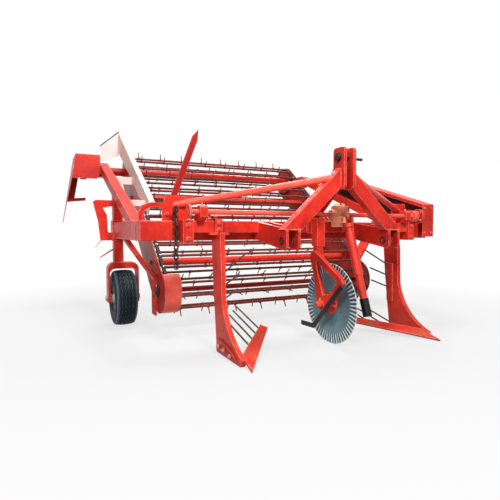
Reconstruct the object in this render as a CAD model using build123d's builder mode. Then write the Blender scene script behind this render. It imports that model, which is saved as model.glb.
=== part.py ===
from build123d import *
import math
import os

# Two-row peanut digger carried on a three-point hitch: tool bars, mast, standards with blades,
# a centre coulter, an inclined rattler elevator with tined bars, two gauge wheels and a driveline.
# Lengths are millimetres. Every Y here is measured rearward from the front bar's front face.

# Tool bars
bar_size = 76.0
beam_size = 127.0
bar_top = 847.0
frame_half = 1228.0
bar_inset = 311.0
arm_width = 76.0
clamp_wall = 16.0
clamp_width = 68.0
clamp_height = 144.0

# Gauge wheels, set in from the beam's ends
wheel_inset = 68.0
wheel_y = 1090.0
tyre_r = 228.5
tyre_w = 178.0
tyre_side = 19.0
tyre_over = 15.0
rim_r = 101.5
axle_r = 14.0
axle_nut = 14.0
fork_wall = 16.0
fork_width = 100.0
fork_bend = 60.0
crown_wall = 52.0
post_size = 76.0
post_trail = 30.0
sleeve_wall = 10.0
sleeve_lip = 20.0

# Hitch and mast
hitch_half = 408.0
hitch_y = -311.0
hitch_drop = 126.0
hitch_bore_r = 14.6
ear_gap = 70.0
ear_wall = 16.0
mast_height = 530.0
leg_width = 90.0
leg_depth = 60.0
lug_gap = 56.0
lug_wall = 20.0
lug_depth = 110.0
lug_height = 266.0
top_pin_r = 12.7
brace_r = 22.0
bracket_wall = 12.0

# Standards and blades
standard_inset = 169.0
standard_wall = 32.0
strap_wall = 14.0
strap_width = 48.0
blade_tip_y = -485.0
blade_length = 724.0
blade_width = 91.0
blade_end = 59.0
blade_wall = 14.0
blade_sweep = 35.7
blade_pitch = 6.3
blade_lift = 22.7
rod_r = 6.0
rod_length = 390.0

# Coulter
disc_r = 279.0
disc_wall = 6.0
disc_x = 30.0
disc_y = -155.0
flute_r = 26.0
flute_depth = 2.6
flute_count = 30
hub_r = 45.8
hub_flange_r = 78.0
stem_size = 50.0
stem_y = -48.0
receiver_wall = 8.0
coulter_axle_r = 15.0
arm_wall = 28.0

# Elevator
lift_angle = 38.6
nose_y = 650.0
nose_z = 326.0
lift_length = 1688.0
loop_r = 150.0
strand_wall = 18.0
strand_width = 26.0
strand_gap = 14.0
bar_count = 33
bar_phase = 0.75
rattler_r = 11.0
tine_r = 5.5
tine_reach = 66.0
tine_pitch = 231.0
tine_margin = 80.0
tine_shift = -20.0
plate_inset = 263.0
plate_wall = 8.0
plate_half = 165.0
nose_cover = 23.0
nose_guard_w = 125.0
nose_shaft_r = 20.0
head_tube_r = 40.0
journal_r = 30.0
cross_tube_r = 30.0
sprocket_w = 20.0

# Rails over the side arms, up to the head shaft's bearings
rail_foot = 330.0
rail_depth = 82.0
rail_over = 71.5
bearing_lead = 69.0
bearing_tail = 62.0
bearing_height = 134.0

# Drive
shaft_r = 16.0
shaft_y = -30.0
shaft_rise = 53.0
gearbox_x = 186.0
gearbox_w = 100.0
gearbox_h = 150.0
gearbox_d = 96.0
joint_side = 26.0
joint_y = -165.0
joint_rise = 11.0
joint_pin_r = 9.0
hang_angle = 19.0
driveline_length = 680.0
pto_bore_r = 17.5
pto_bore_depth = 80.0
bracket_gap = 15.0
bracket_end_r = 58.0
shaft_hub_w = 44.0
shaft_hub_r = 45.0

# Guards and the pale shield
guard_lead = 129.0
guard_trail = 241.0
guard_out = 222.0
flare_out = 331.0
guard_over = 138.0
guard_under = 94.0
guard_drop = 513.0
side_guard_w = 128.0
side_guard_rise = 156.0
side_guard_fall = 115.0
side_guard_lip = 30.0
shield_inset = 218.0
flange_w = 40.0
sheet = 4.0

# Hanging chain at the left clamp
link_long = 46.0
link_wide = 30.0
link_wire = 8.0
link_count = 13

# Clearances: a slip fit at pins, a turning fit at hubs and the seat of a round piece
slip = 0.05
turning = 0.08
seat = 0.3

# Heights and places that follow
beam_front = bar_size
beam_rear = bar_size + beam_size
beam_bottom = bar_top - beam_size
bar_bottom = bar_top - bar_size
bar_half = frame_half - bar_inset
arm_in = frame_half - arm_width
standard_x = bar_half - standard_inset
wheel_x = frame_half - wheel_inset
fork_gap = tyre_w + 2 * tyre_side
fork_half = fork_gap / 2 + fork_wall
crown_top = 2 * tyre_r + tyre_over + crown_wall
post_x = frame_half - post_size / 2
post_y = wheel_y + post_trail
arm_rear = post_y - post_size / 2 - sleeve_wall
hitch_z = bar_top - hitch_drop
mast_foot_z = hitch_z + 69
leg_front = hitch_y - 43
leg_rear = leg_front + leg_depth
lug_front = hitch_y - 74
lug_rear = lug_front + lug_depth
top_pin_y = lug_front + lug_depth / 2
top_pin_z = hitch_z + mast_height
lug_top = top_pin_z + 65
lug_base = lug_top - lug_height
mast_head_z = lug_base + 70
plate_in = frame_half - plate_inset
plate_out = plate_in + plate_wall
strand_out = plate_in - strand_gap
strand_in = strand_out - strand_width
tine_count = int(2 * (strand_in - tine_margin) / tine_pitch) + 1
nose_guard_r = loop_r + nose_cover
sprocket_r = loop_r - strand_wall / 2 - 2 * seat
lift_cos = math.cos(math.radians(lift_angle))
lift_sin = math.sin(math.radians(lift_angle))
head_y = nose_y + lift_length * lift_cos
head_z = nose_z + lift_length * lift_sin
rail_end = head_y - bearing_lead
rail_slope = (head_z + rail_over - bar_top) / (rail_end - rail_foot)
rail_cut = rail_depth / math.sin(math.atan(rail_slope))
shaft_z = bar_top + shaft_rise
joint_x = gearbox_x - joint_side
joint_z = bar_top + joint_rise
drive_bracket_in = bar_half + clamp_width + bracket_gap
bracket_y = beam_front + 74
guard_front = head_y - guard_lead
guard_rear = head_y + guard_trail
guard_left = frame_half + guard_out
guard_flare = frame_half + flare_out
guard_top = head_z + guard_over
guard_low = head_z - guard_under
guard_tail = head_z - guard_drop
shield_x = frame_half - shield_inset
chain_x = -(bar_half + clamp_width + 24)

# The stored origin is on the floor under the middle of the whole footprint.
side_reach = wheel_x + fork_half + axle_nut
FRAME = Location(((guard_flare - side_reach) / 2, -(guard_rear + blade_tip_y) / 2, 0))

os.makedirs("parts", exist_ok=True)


def store(builder, name):
    piece = builder.part.moved(FRAME)
    piece.label = name
    export_step(piece, f"parts/{name}.step")


def at_x(x):
    return Plane.YZ.offset(x)


def at_y(y):
    return Plane.XZ.offset(-y)


def on_lift(along, off):
    return (
        nose_y + along * lift_cos - off * lift_sin,
        nose_z + along * lift_sin + off * lift_cos,
    )


def rail_top(y):
    return bar_top + rail_slope * (y - rail_foot)


def rail_under(y):
    return bar_top + rail_slope * (y - rail_foot - rail_cut)


# Main beam, front bar and the clamps that join their ends
with BuildPart() as main_beam:
    with BuildSketch(at_x(-frame_half)):
        with Locations((beam_front + beam_size / 2, bar_top - beam_size / 2)):
            RectangleRounded(beam_size, beam_size, 9)
    extrude(amount=2 * frame_half)
store(main_beam, "main_beam")

with BuildPart() as front_bar:
    with BuildSketch(at_x(-bar_half)):
        with Locations((bar_size / 2, bar_top - bar_size / 2)):
            RectangleRounded(bar_size, bar_size, 6)
    extrude(amount=2 * bar_half)
store(front_bar, "front_bar")

with BuildPart() as bar_clamps:
    for side in (-1, 1):
        with BuildSketch(Plane.XY.offset(bar_top + 4 - clamp_height)):
            with Locations((side * (bar_half + clamp_width / 2), (bar_size - clamp_wall) / 2)):
                Rectangle(clamp_width, bar_size + clamp_wall)
            with Locations((side * (bar_half + clamp_width / 2), (bar_size + clamp_wall) / 2)):
                Rectangle(clamp_width - 2 * clamp_wall, bar_size + clamp_wall, mode=Mode.SUBTRACT)
        extrude(amount=clamp_height)
store(bar_clamps, "bar_clamps")

# Side arms with the square sleeves that hold the wheel posts
sleeve_size = post_size + 2 * sleeve_wall
with BuildPart() as side_arm_left:
    with BuildSketch(at_y(beam_rear)):
        with Locations((-frame_half + arm_width / 2, bar_top - beam_size / 2)):
            RectangleRounded(arm_width, beam_size, 8)
    extrude(amount=-(arm_rear - beam_rear))
    with BuildSketch(Plane.XY.offset(beam_bottom - sleeve_lip)):
        with Locations((-post_x, post_y)):
            Rectangle(sleeve_size, sleeve_size)
    extrude(amount=beam_size + 2 * sleeve_lip)
    with BuildSketch(Plane.XY.offset(beam_bottom - 2 * sleeve_lip)):
        with Locations((-post_x, post_y)):
            Rectangle(post_size + 2 * seat, post_size + 2 * seat)
    extrude(amount=beam_size + 4 * sleeve_lip, mode=Mode.SUBTRACT)
store(side_arm_left, "side_arm_left")
with BuildPart() as side_arm_right:
    mirror(side_arm_left.part, about=Plane.YZ)
store(side_arm_right, "side_arm_right")

# Rails from the side arms up to the head shaft
with BuildPart() as rail_left:
    with BuildSketch(at_x(-frame_half)):
        Polygon(
            (rail_foot, bar_top),
            (rail_foot + rail_cut, bar_top),
            (rail_end, rail_under(rail_end)),
            (rail_end, rail_top(rail_end)),
            align=None,
        )
    extrude(amount=arm_width)
with BuildPart() as rails:
    add(rail_left.part)
    mirror(rail_left.part, about=Plane.YZ)
store(rails, "rails")

# Wheel forks: a bent flat over the tyre, with the square post that ends under the rail
leg_foot = tyre_r - 36
post_high = rail_under(post_y + post_size)
with BuildPart() as wheel_fork_left:
    with BuildSketch(at_y(wheel_y - fork_width / 2)):
        with Locations((-wheel_x, crown_top / 2)):
            RectangleRounded(2 * fork_half, crown_top, fork_bend)
        with Locations((-wheel_x, crown_top / 2 - crown_wall)):
            RectangleRounded(fork_gap, crown_top, fork_bend - fork_wall, mode=Mode.SUBTRACT)
        with Locations((-wheel_x, leg_foot / 2 - fork_wall)):
            Rectangle(3 * fork_half, leg_foot + 2 * fork_wall, mode=Mode.SUBTRACT)
    extrude(amount=-fork_width)
    with BuildSketch(Plane.XY.offset(crown_top - fork_wall / 2)):
        with Locations((-post_x, post_y)):
            Rectangle(post_size, post_size)
    extrude(amount=post_high - crown_top + fork_wall / 2)
    with BuildSketch(at_x(-frame_half - 1)):
        Polygon(
            (rail_foot + rail_cut, bar_top),
            (rail_end, rail_under(rail_end)),
            (rail_end, rail_top(rail_end) + rail_end),
            (rail_foot + rail_cut, bar_top + rail_end),
            align=None,
        )
    extrude(amount=arm_width + 2, mode=Mode.SUBTRACT)
    with BuildSketch(at_x(-wheel_x - fork_half - 5)):
        with Locations((wheel_y, tyre_r)):
            Circle(axle_r + slip)
    extrude(amount=2 * fork_half + 10, mode=Mode.SUBTRACT)
store(wheel_fork_left, "wheel_fork_left")
with BuildPart() as wheel_fork_right:
    mirror(wheel_fork_left.part, about=Plane.YZ)
store(wheel_fork_right, "wheel_fork_right")

with BuildPart() as axle_left:
    with BuildSketch(at_x(-wheel_x - fork_half)):
        with Locations((wheel_y, tyre_r)):
            Circle(axle_r)
    extrude(amount=2 * fork_half)
    for x in (-wheel_x - fork_half - axle_nut, -wheel_x + fork_half):
        with BuildSketch(at_x(x)):
            with Locations((wheel_y, tyre_r)):
                RegularPolygon(axle_r + 10, 6)
        extrude(amount=axle_nut)
with BuildPart() as axles:
    add(axle_left.part)
    mirror(axle_left.part, about=Plane.YZ)
store(axles, "axles")

# Open bracket plate on the outside of the left post, with two bent fingers; columns are
# how far it stands out from the beam's end and its height over the bars' top
sleeve_out = post_x + sleeve_size / 2 - frame_half
bracket_points = (
    (154, 170),
    (115, 7),
    (106, -82),
    (100, -145),
    (150, -211),
    (144, -205),
    (93, -145),
    (sleeve_out, -145),
    (sleeve_out, -82),
    (40, -75),
    (46, 64),
    (77, 121),
    (0, 138),
    (0, 186),
    (132, 186),
)
finger_points = ((0, -225), (0, -211), (57, -247), (102, -279), (107, -291), (62, -262))
with BuildPart() as post_bracket:
    with BuildSketch(at_y(post_y - bracket_wall / 2)):
        Polygon(*[(-frame_half - out, bar_top + rise) for out, rise in bracket_points], align=None)
        Polygon(*[(-frame_half - out, bar_top + rise) for out, rise in finger_points], align=None)
    extrude(amount=-bracket_wall)
store(post_bracket, "post_bracket")

# Gauge wheels: half sections turned about the axle
tyre_half = tyre_w / 2
hub_half = fork_gap / 2 - 20
with BuildPart() as tyre_part:
    with BuildSketch(Plane.XY):
        Polygon(
            (-tyre_half + 22, rim_r + seat),
            (-tyre_half, rim_r + 62),
            (-tyre_half + 10, tyre_r - 20),
            (-tyre_half + 40, tyre_r),
            (tyre_half - 40, tyre_r),
            (tyre_half - 10, tyre_r - 20),
            (tyre_half, rim_r + 62),
            (tyre_half - 22, rim_r + seat),
            align=None,
        )
    revolve(axis=Axis.X)
with BuildPart() as rim_part:
    with BuildSketch(Plane.XY):
        Polygon(
            (-tyre_half + 23, rim_r - 10),
            (-tyre_half + 23, rim_r),
            (tyre_half - 23, rim_r),
            (tyre_half - 23, rim_r - 10),
            (8, rim_r - 14),
            (-18, axle_r + 38),
            (-18, axle_r + 24),
            (hub_half, axle_r + 24),
            (hub_half, axle_r + turning),
            (-hub_half, axle_r + turning),
            (-hub_half, axle_r + 24),
            (-30, axle_r + 24),
            (-30, axle_r + 42),
            (-8, rim_r - 12),
            align=None,
        )
    revolve(axis=Axis.X)
for kind, source in (("tyre", tyre_part), ("rim", rim_part)):
    with BuildPart() as left_piece:
        with Locations((-wheel_x, wheel_y, tyre_r)):
            add(source.part)
    store(left_piece, f"{kind}_left")
    with BuildPart() as right_piece:
        mirror(left_piece.part, about=Plane.YZ)
    store(right_piece, f"{kind}_right")

# Lower hitch: a pair of ears each side, welded to both bars
with BuildPart() as hitch_left:
    for x in (-hitch_half - ear_gap / 2 - ear_wall, -hitch_half + ear_gap / 2):
        with BuildSketch(at_x(x)):
            Polygon(
                (0, bar_top - 4),
                (hitch_y - 34, hitch_z + 76),
                (hitch_y - 54, hitch_z + 59),
                (hitch_y - 54, hitch_z - 39),
                (hitch_y - 34, hitch_z - 57),
                (0, beam_bottom),
                (beam_front, beam_bottom),
                (beam_front, bar_bottom),
                (0, bar_bottom),
                align=None,
            )
            with Locations((hitch_y, hitch_z)):
                Circle(hitch_bore_r, mode=Mode.SUBTRACT)
        extrude(amount=ear_wall)
store(hitch_left, "hitch_left")
with BuildPart() as hitch_right:
    mirror(hitch_left.part, about=Plane.YZ)
store(hitch_right, "hitch_right")

# Mast legs from the ears to the lugs
lug_out = lug_gap / 2 + lug_wall
lean = math.atan2(mast_head_z - mast_foot_z, hitch_half - lug_out)
leg_h = leg_width / 2 / math.sin(lean)
leg_v = leg_width / 2 / math.cos(lean)
with BuildPart() as mast_leg_left:
    with BuildSketch(at_y(leg_front)):
        Polygon(
            (-hitch_half - leg_h, mast_foot_z),
            (-hitch_half + leg_h, mast_foot_z),
            (-lug_out, mast_head_z - leg_v),
            (-lug_out, mast_head_z + leg_v),
            align=None,
        )
    extrude(amount=-leg_depth)
    add(hitch_left.part, mode=Mode.SUBTRACT)
with BuildPart() as mast_legs:
    add(mast_leg_left.part)
    mirror(mast_leg_left.part, about=Plane.YZ)
store(mast_legs, "mast_legs")

with BuildPart() as mast_lugs:
    for x in (-lug_out, lug_gap / 2):
        with BuildSketch(at_x(x)):
            with Locations(((lug_front + lug_rear) / 2, (lug_top + lug_base) / 2)):
                RectangleRounded(lug_depth, lug_height, 24)
            with Locations((top_pin_y, top_pin_z)):
                Circle(top_pin_r + slip, mode=Mode.SUBTRACT)
        extrude(amount=lug_wall)
store(mast_lugs, "mast_lugs")

# Top pin with its collar and handle; columns are start, length and radius
with BuildPart() as top_pin:
    for start, length, radius in (
        (-lug_out - 20, 2 * lug_out + 44, top_pin_r),
        (lug_out + 10, 14, top_pin_r + 7),
        (lug_out + 24, 70, top_pin_r - 4),
    ):
        with BuildSketch(at_x(start)):
            with Locations((top_pin_y, top_pin_z)):
                Circle(radius)
        extrude(amount=length)
store(top_pin, "top_pin")

# Back brace: a channel, open to the front, from the lugs to the front bar
brace_half = lug_gap / 2 + 10
with BuildPart() as back_brace:
    with BuildSketch(at_x(-brace_half)):
        Polygon(
            (lug_rear, lug_base + 35),
            (lug_rear, lug_base + 150),
            (bar_size - 2, bar_top),
            (20, bar_top),
            align=None,
        )
    extrude(amount=2 * brace_half)
    with BuildSketch(at_x(-brace_half + 8)):
        Polygon(
            (lug_rear - 5, lug_base + 35),
            (lug_rear - 5, lug_base + 142),
            (bar_size - 14, bar_top - 1),
            (20, bar_top - 1),
            align=None,
        )
    extrude(amount=2 * brace_half - 16, mode=Mode.SUBTRACT)
    with BuildSketch(at_x(-2 * brace_half)):
        with Locations((shaft_y, shaft_z)):
            Circle(shaft_r + 6)
    extrude(amount=4 * brace_half, mode=Mode.SUBTRACT)
store(back_brace, "back_brace")

# Brackets near the ends of the beam, with the arched tie to the beam's end; columns are
# how far a corner is set in from the beam's end and its height over the beam
bracket_corners = (
    (323, 0),
    (158, 0),
    (158, 83),
    (98, 87),
    (56, 71),
    (36, 38),
    (36, 0),
    (6, 0),
    (6, 53),
    (32, 97),
    (88, 117),
    (168, 115),
    (176, 163),
    (298, 163),
    (323, 133),
)
with BuildPart() as bracket_left:
    with BuildSketch(at_y(bracket_y)):
        Polygon(*[(inset - frame_half, bar_top + rise) for inset, rise in bracket_corners], align=None)
    extrude(amount=-bracket_wall)
with BuildPart() as brace_brackets:
    add(bracket_left.part)
    mirror(bracket_left.part, about=Plane.YZ)
store(brace_brackets, "brace_brackets")

# Round braces from the mast legs down to the brackets
brace_high = Vector(-105, leg_rear - 35, mast_head_z - 2)
brace_low = Vector(238 - frame_half, bracket_y + 18, bar_top + 103)
brace_run = brace_low - brace_high
with BuildPart() as brace_cut:
    with BuildSketch(Plane(origin=brace_high, z_dir=brace_run)):
        Circle(brace_r)
    extrude(amount=brace_run.length)
    add(mast_leg_left.part, mode=Mode.SUBTRACT)
    add(bracket_left.part, mode=Mode.SUBTRACT)
brace_span = brace_cut.part.solids().sort_by(SortBy.VOLUME)[-1]
with BuildPart() as mast_braces:
    add(brace_span)
    mirror(brace_span, about=Plane.YZ)
store(mast_braces, "mast_braces")

# Hand lever on the left bracket's rear face
lever_points = ((172, 43), (210, 31), (402, 531), (410, 605), (370, 561))
with BuildPart() as hand_lever:
    with BuildSketch(at_y(bracket_y + bracket_wall)):
        Polygon(*[(inset - frame_half, bar_top + rise) for inset, rise in lever_points], align=None)
    extrude(amount=-bracket_wall)
store(hand_lever, "hand_lever")

# Standards: curved shanks hung under the front bar, with the swept blades and lifter rods
shank_rear = bar_size - 8
shank_nose = blade_tip_y + 95
with BuildPart() as shank:
    with BuildSketch(at_x(-standard_x - standard_wall / 2)):
        with BuildLine():
            Polyline(
                (shank_nose, 48),
                (shank_nose + 25, 4),
                (-12, 4),
                (2, 100),
                (shank_rear - 24, 420),
                (shank_rear, bar_bottom - 81),
                (shank_rear, bar_bottom),
                (-72, bar_bottom),
                (-72, bar_bottom - 51),
                (-82, bar_bottom - 131),
                (-89, 396),
            )
            Bezier((-89, 396), (-98, 250), (shank_nose + 170, 96), (shank_nose, 48))
        make_face()
    extrude(amount=standard_wall)
sweep_sin = math.sin(math.radians(blade_sweep))
sweep_cos = math.cos(math.radians(blade_sweep))
pitch_sin = math.sin(math.radians(blade_pitch))
pitch_cos = math.cos(math.radians(blade_pitch))
blade_dir = Vector(sweep_sin * pitch_cos, sweep_cos * pitch_cos, pitch_sin)
blade_level = Vector(-sweep_cos, sweep_sin, 0)
blade_side = blade_level * math.cos(math.radians(blade_lift)) + blade_dir.cross(blade_level) * math.sin(
    math.radians(blade_lift)
)
blade_heel = 1.5 * blade_width
blade_normal = blade_dir.cross(blade_side)
blade_plane = Plane(
    origin=(-standard_x, blade_tip_y - blade_wall * blade_normal.Y, 0), x_dir=blade_dir, z_dir=blade_normal
)
with BuildPart() as blade_left:
    with BuildSketch(blade_plane):
        Polygon(
            (0, 0),
            (blade_length, 0),
            (blade_length - 8, blade_end),
            (blade_heel, blade_width),
            align=None,
        )
    extrude(amount=blade_wall)
rod_backs = (410, 300, 190, 80)
with BuildPart() as rods_cut:
    for back in rod_backs:
        taper = (blade_length - back - blade_heel) / (blade_length - blade_heel)
        edge = blade_width + (blade_end - blade_width) * taper
        root = blade_plane.from_local_coords(Vector(blade_length - back, edge - 10, blade_wall / 2))
        with BuildSketch(Plane(origin=root, z_dir=(0, 0.97, 0.24))):
            RegularPolygon(rod_r, 8)
        extrude(amount=rod_length)
    add(blade_left.part, mode=Mode.SUBTRACT)
rods_kept = rods_cut.part.solids().sort_by(SortBy.VOLUME)[-len(rod_backs) :]
with BuildPart() as lifter_rods:
    add(rods_kept)
    mirror(rods_kept, about=Plane.YZ)
store(lifter_rods, "lifter_rods")
with BuildPart() as shank_cut:
    add(shank.part)
    add(blade_left.part, mode=Mode.SUBTRACT)
shank_kept = shank_cut.part.solids().sort_by(SortBy.VOLUME)[-1]
with BuildPart() as standard_left:
    add(shank_kept)
with BuildPart() as standard_right:
    mirror(shank_kept, about=Plane.YZ)
with BuildPart() as blade_right:
    mirror(blade_left.part, about=Plane.YZ)
store(standard_left, "standard_left")
store(standard_right, "standard_right")
store(blade_left, "blade_left")
store(blade_right, "blade_right")

# Straps that clamp the standards to the bars
with BuildPart() as standard_clamps:
    for side in (-1, 1):
        with BuildSketch(at_x(side * standard_x - strap_width / 2)):
            Polygon(
                (0, bar_bottom),
                (0, bar_top),
                (beam_rear, bar_top),
                (beam_rear, bar_top + strap_wall),
                (-strap_wall + 4, bar_top + strap_wall),
                (-strap_wall - 4, bar_top + strap_wall - 8),
                (-strap_wall - 4, bar_bottom),
                align=None,
            )
        extrude(amount=strap_width)
        for away in (-1, 1):
            cheek_x = side * standard_x + away * (standard_wall / 2 + strap_width / 2)
            with BuildSketch(Plane.XY.offset(bar_bottom - strap_wall)):
                with Locations((cheek_x, bar_size / 4)):
                    Rectangle(strap_width, bar_size + 20)
            extrude(amount=strap_wall)
store(standard_clamps, "standard_clamps")

# Vine rods on the inner face of each standard; columns are root height, and the end's
# distance in from the standard and height
rod_plate = 10
vine_ends = ((500, 223, 630), (420, 171, 488), (330, 158, 390))
inner_face = standard_x - standard_wall / 2
with BuildPart() as vine_plate_right:
    with BuildSketch(at_x(inner_face - rod_plate)):
        Polygon((-45, 225), (15, 225), (25, 523), (-40, 523), align=None)
    extrude(amount=rod_plate)
with BuildPart() as vine_plates:
    add(vine_plate_right.part)
    mirror(vine_plate_right.part, about=Plane.YZ)
store(vine_plates, "vine_plates")
with BuildPart() as vine_cut:
    for root_z, end_in, end_z in vine_ends:
        rod_root = Vector(inner_face - rod_plate / 2, -8, root_z)
        rod_run = Vector(standard_x - end_in, 50, end_z) - rod_root
        with BuildSketch(Plane(origin=rod_root, z_dir=rod_run)):
            RegularPolygon(rod_r, 8)
        extrude(amount=rod_run.length)
    add(vine_plate_right.part, mode=Mode.SUBTRACT)
    with BuildSketch(at_x(inner_face - rod_plate)):
        Rectangle(4 * standard_x, 4 * standard_x)
    extrude(amount=rod_plate + 4 * rod_r, mode=Mode.SUBTRACT)
vine_kept = vine_cut.part.solids().sort_by(SortBy.VOLUME)[-len(vine_ends) :]
with BuildPart() as vine_rods:
    add(vine_kept)
    mirror(vine_kept, about=Plane.YZ)
store(vine_rods, "vine_rods")

# Centre coulter: receiver on the front bar, stem, one-sided arm and the fixed axle
disc_z = disc_r
stem_foot = 2 * disc_r + 38
receiver_foot = stem_foot + 78
receiver_size = stem_size + 2 * receiver_wall
with BuildPart() as coulter_mount:
    with BuildSketch(Plane.XY.offset(receiver_foot)):
        with Locations((0, stem_y)):
            Rectangle(receiver_size, receiver_size)
            Rectangle(stem_size + 2 * seat, stem_size + 2 * seat, mode=Mode.SUBTRACT)
    extrude(amount=bar_top + 27 - receiver_foot)
    with BuildSketch(at_y(stem_y + receiver_size / 2)):
        with Locations((0, bar_top - bar_size / 2)):
            Rectangle(receiver_size + 64, bar_size + 14)
    extrude(amount=stem_y + receiver_size / 2)
store(coulter_mount, "coulter_mount")

arm_out = -stem_size / 2 + 5 - arm_wall
with BuildPart() as coulter_arm:
    with BuildSketch(Plane.XY.offset(stem_foot)):
        with Locations((0, stem_y)):
            Rectangle(stem_size, stem_size)
    extrude(amount=bar_top + 21 - stem_foot)
    with BuildSketch(at_x(arm_out)):
        Polygon(
            (stem_y + stem_size / 2, stem_foot + 44),
            (stem_y - stem_size / 2, stem_foot + 44),
            (disc_y - 190, disc_z + 207),
            (disc_y - 230, disc_z + 167),
            (disc_y - 135, disc_z + 39),
            (disc_y - 52, disc_z - 10),
            (disc_y, disc_z - 50),
            (disc_y + 48, disc_z - 14),
            (disc_y + 92, disc_z + 191),
            (stem_y + stem_size / 2, stem_foot - 26),
            align=None,
        )
        Polygon(
            (stem_y - 42, stem_foot - 21),
            (disc_y - 165, disc_z + 169),
            (disc_y - 107, disc_z + 83),
            (disc_y - 14, disc_z + 64),
            (disc_y + 44, disc_z + 201),
            align=None,
            mode=Mode.SUBTRACT,
        )
    extrude(amount=arm_wall)
    with BuildSketch(at_x(arm_out - 26)):
        with Locations((disc_y, disc_z)):
            Circle(27)
    extrude(amount=26)
    with BuildSketch(at_x(arm_out + arm_wall)):
        with Locations((disc_y, disc_z)):
            Circle(coulter_axle_r)
    extrude(amount=disc_x + 22 - arm_out - arm_wall)
store(coulter_arm, "coulter_arm")

# Rippled disc: flutes are cut from both faces by turns and run out toward the hub
with BuildPart() as coulter_disc:
    with BuildSketch(at_x(disc_x - disc_wall / 2)):
        with Locations((disc_y, disc_z)):
            Circle(disc_r)
            Circle(hub_r + 0.2, mode=Mode.SUBTRACT)
    extrude(amount=disc_wall)
    chamfer(coulter_disc.edges().filter_by(GeomType.CIRCLE).group_by(SortBy.RADIUS)[-1], 0.4 * disc_wall)
    flute_planes = []
    for face, shift in ((-1, 0.0), (1, 0.5)):
        for k in range(flute_count):
            turn = 2 * math.pi * (k + shift) / flute_count
            out = Vector(0, math.cos(turn), math.sin(turn))
            run = out + Vector(-0.03 * face, 0, 0)
            far = Vector(disc_x + face * (disc_wall / 2 + flute_r - flute_depth), disc_y, disc_z) + out * disc_r
            flute_planes.append(Plane(origin=far - run * 110, z_dir=run))
    with BuildSketch(*flute_planes):
        Circle(flute_r)
    extrude(amount=125, mode=Mode.SUBTRACT)
store(coulter_disc, "coulter_disc")
with BuildPart() as coulter_hub:
    with BuildSketch(at_x(arm_out + arm_wall + 6)):
        with Locations((disc_y, disc_z)):
            Circle(hub_r)
    extrude(amount=disc_x + 16 - arm_out - arm_wall - 6)
    for x in (disc_x - disc_wall / 2 - 10, disc_x + disc_wall / 2):
        with BuildSketch(at_x(x)):
            with Locations((disc_y, disc_z)):
                Circle(hub_flange_r)
        extrude(amount=10)
    with BuildSketch(at_x(arm_out)):
        with Locations((disc_y, disc_z)):
            Circle(coulter_axle_r + turning)
    extrude(amount=4 * disc_x, mode=Mode.SUBTRACT)
store(coulter_hub, "coulter_hub")

# Bent bar on the arm's outer face; columns are offsets from the disc's centre
bar_points = ((-237, 137), (-215, 161), (91, -151), (231, -155), (231, -187), (77, -183))
with BuildPart() as scraper:
    with BuildSketch(at_x(arm_out - 10)):
        Polygon(*[(disc_y + y, disc_z + z) for y, z in bar_points], align=None)
    extrude(amount=10)
store(scraper, "scraper")

# Elevator side plates with the rounded nose and head ends
mid_y, mid_z = on_lift(lift_length / 2, 0)
with BuildPart() as elevator_plates:
    for x in (-plate_out, plate_in):
        with BuildSketch(at_x(x)):
            with Locations((mid_y, mid_z)):
                SlotCenterToCenter(lift_length, 2 * plate_half, rotation=lift_angle)
            with Locations((nose_y, nose_z)):
                Circle(nose_guard_r)
            with Locations((head_y, head_z)):
                Circle(head_tube_r + seat, mode=Mode.SUBTRACT)
            with Locations((nose_y, nose_z)):
                Circle(nose_shaft_r + seat, mode=Mode.SUBTRACT)
        extrude(amount=plate_wall)
store(elevator_plates, "elevator_plates")

with BuildPart() as cross_tubes:
    for along in (320, lift_length / 2 - 84, lift_length - 448):
        with BuildSketch(at_x(-plate_in)):
            with Locations(on_lift(along, 0)):
                Circle(cross_tube_r)
        extrude(amount=2 * plate_in)
store(cross_tubes, "cross_tubes")

# Nose and head shafts with the wheels that carry the strands
wheel_starts = (-strand_out + 3, strand_in + 3)
with BuildPart() as nose_shaft:
    with BuildSketch(at_x(-plate_out - 27)):
        with Locations((nose_y, nose_z)):
            Circle(nose_shaft_r)
    extrude(amount=2 * (plate_out + 27))
    for x in wheel_starts:
        with BuildSketch(at_x(x)):
            with Locations((nose_y, nose_z)):
                Circle(sprocket_r)
        extrude(amount=sprocket_w)
store(nose_shaft, "nose_shaft")

with BuildPart() as head_shaft:
    with BuildSketch(at_x(-arm_in + 12)):
        with Locations((head_y, head_z)):
            Circle(head_tube_r)
    extrude(amount=2 * (arm_in - 12))
    with BuildSketch(at_x(-guard_left + 40)):
        with Locations((head_y, head_z)):
            Circle(journal_r)
    extrude(amount=guard_left - 40 + frame_half + 12)
    for x in wheel_starts:
        with BuildSketch(at_x(x)):
            with Locations((head_y, head_z)):
                Circle(sprocket_r)
        extrude(amount=sprocket_w)
    with BuildSketch(at_x(-guard_left + 50)):
        with Locations((head_y, head_z)):
            Circle(guard_under - 2)
    extrude(amount=52)
store(head_shaft, "head_shaft")

# Endless strands each side and the tined bars that they carry
with BuildPart() as rattler_strands:
    for x in (-strand_out, strand_in):
        with BuildSketch(at_x(x)):
            with Locations((mid_y, mid_z)):
                SlotCenterToCenter(lift_length, 2 * loop_r + strand_wall, rotation=lift_angle)
                SlotCenterToCenter(
                    lift_length, 2 * loop_r - strand_wall, rotation=lift_angle, mode=Mode.SUBTRACT
                )
        extrude(amount=strand_width)
store(rattler_strands, "rattler_strands")

loop_length = 2 * lift_length + 2 * math.pi * loop_r


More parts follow.
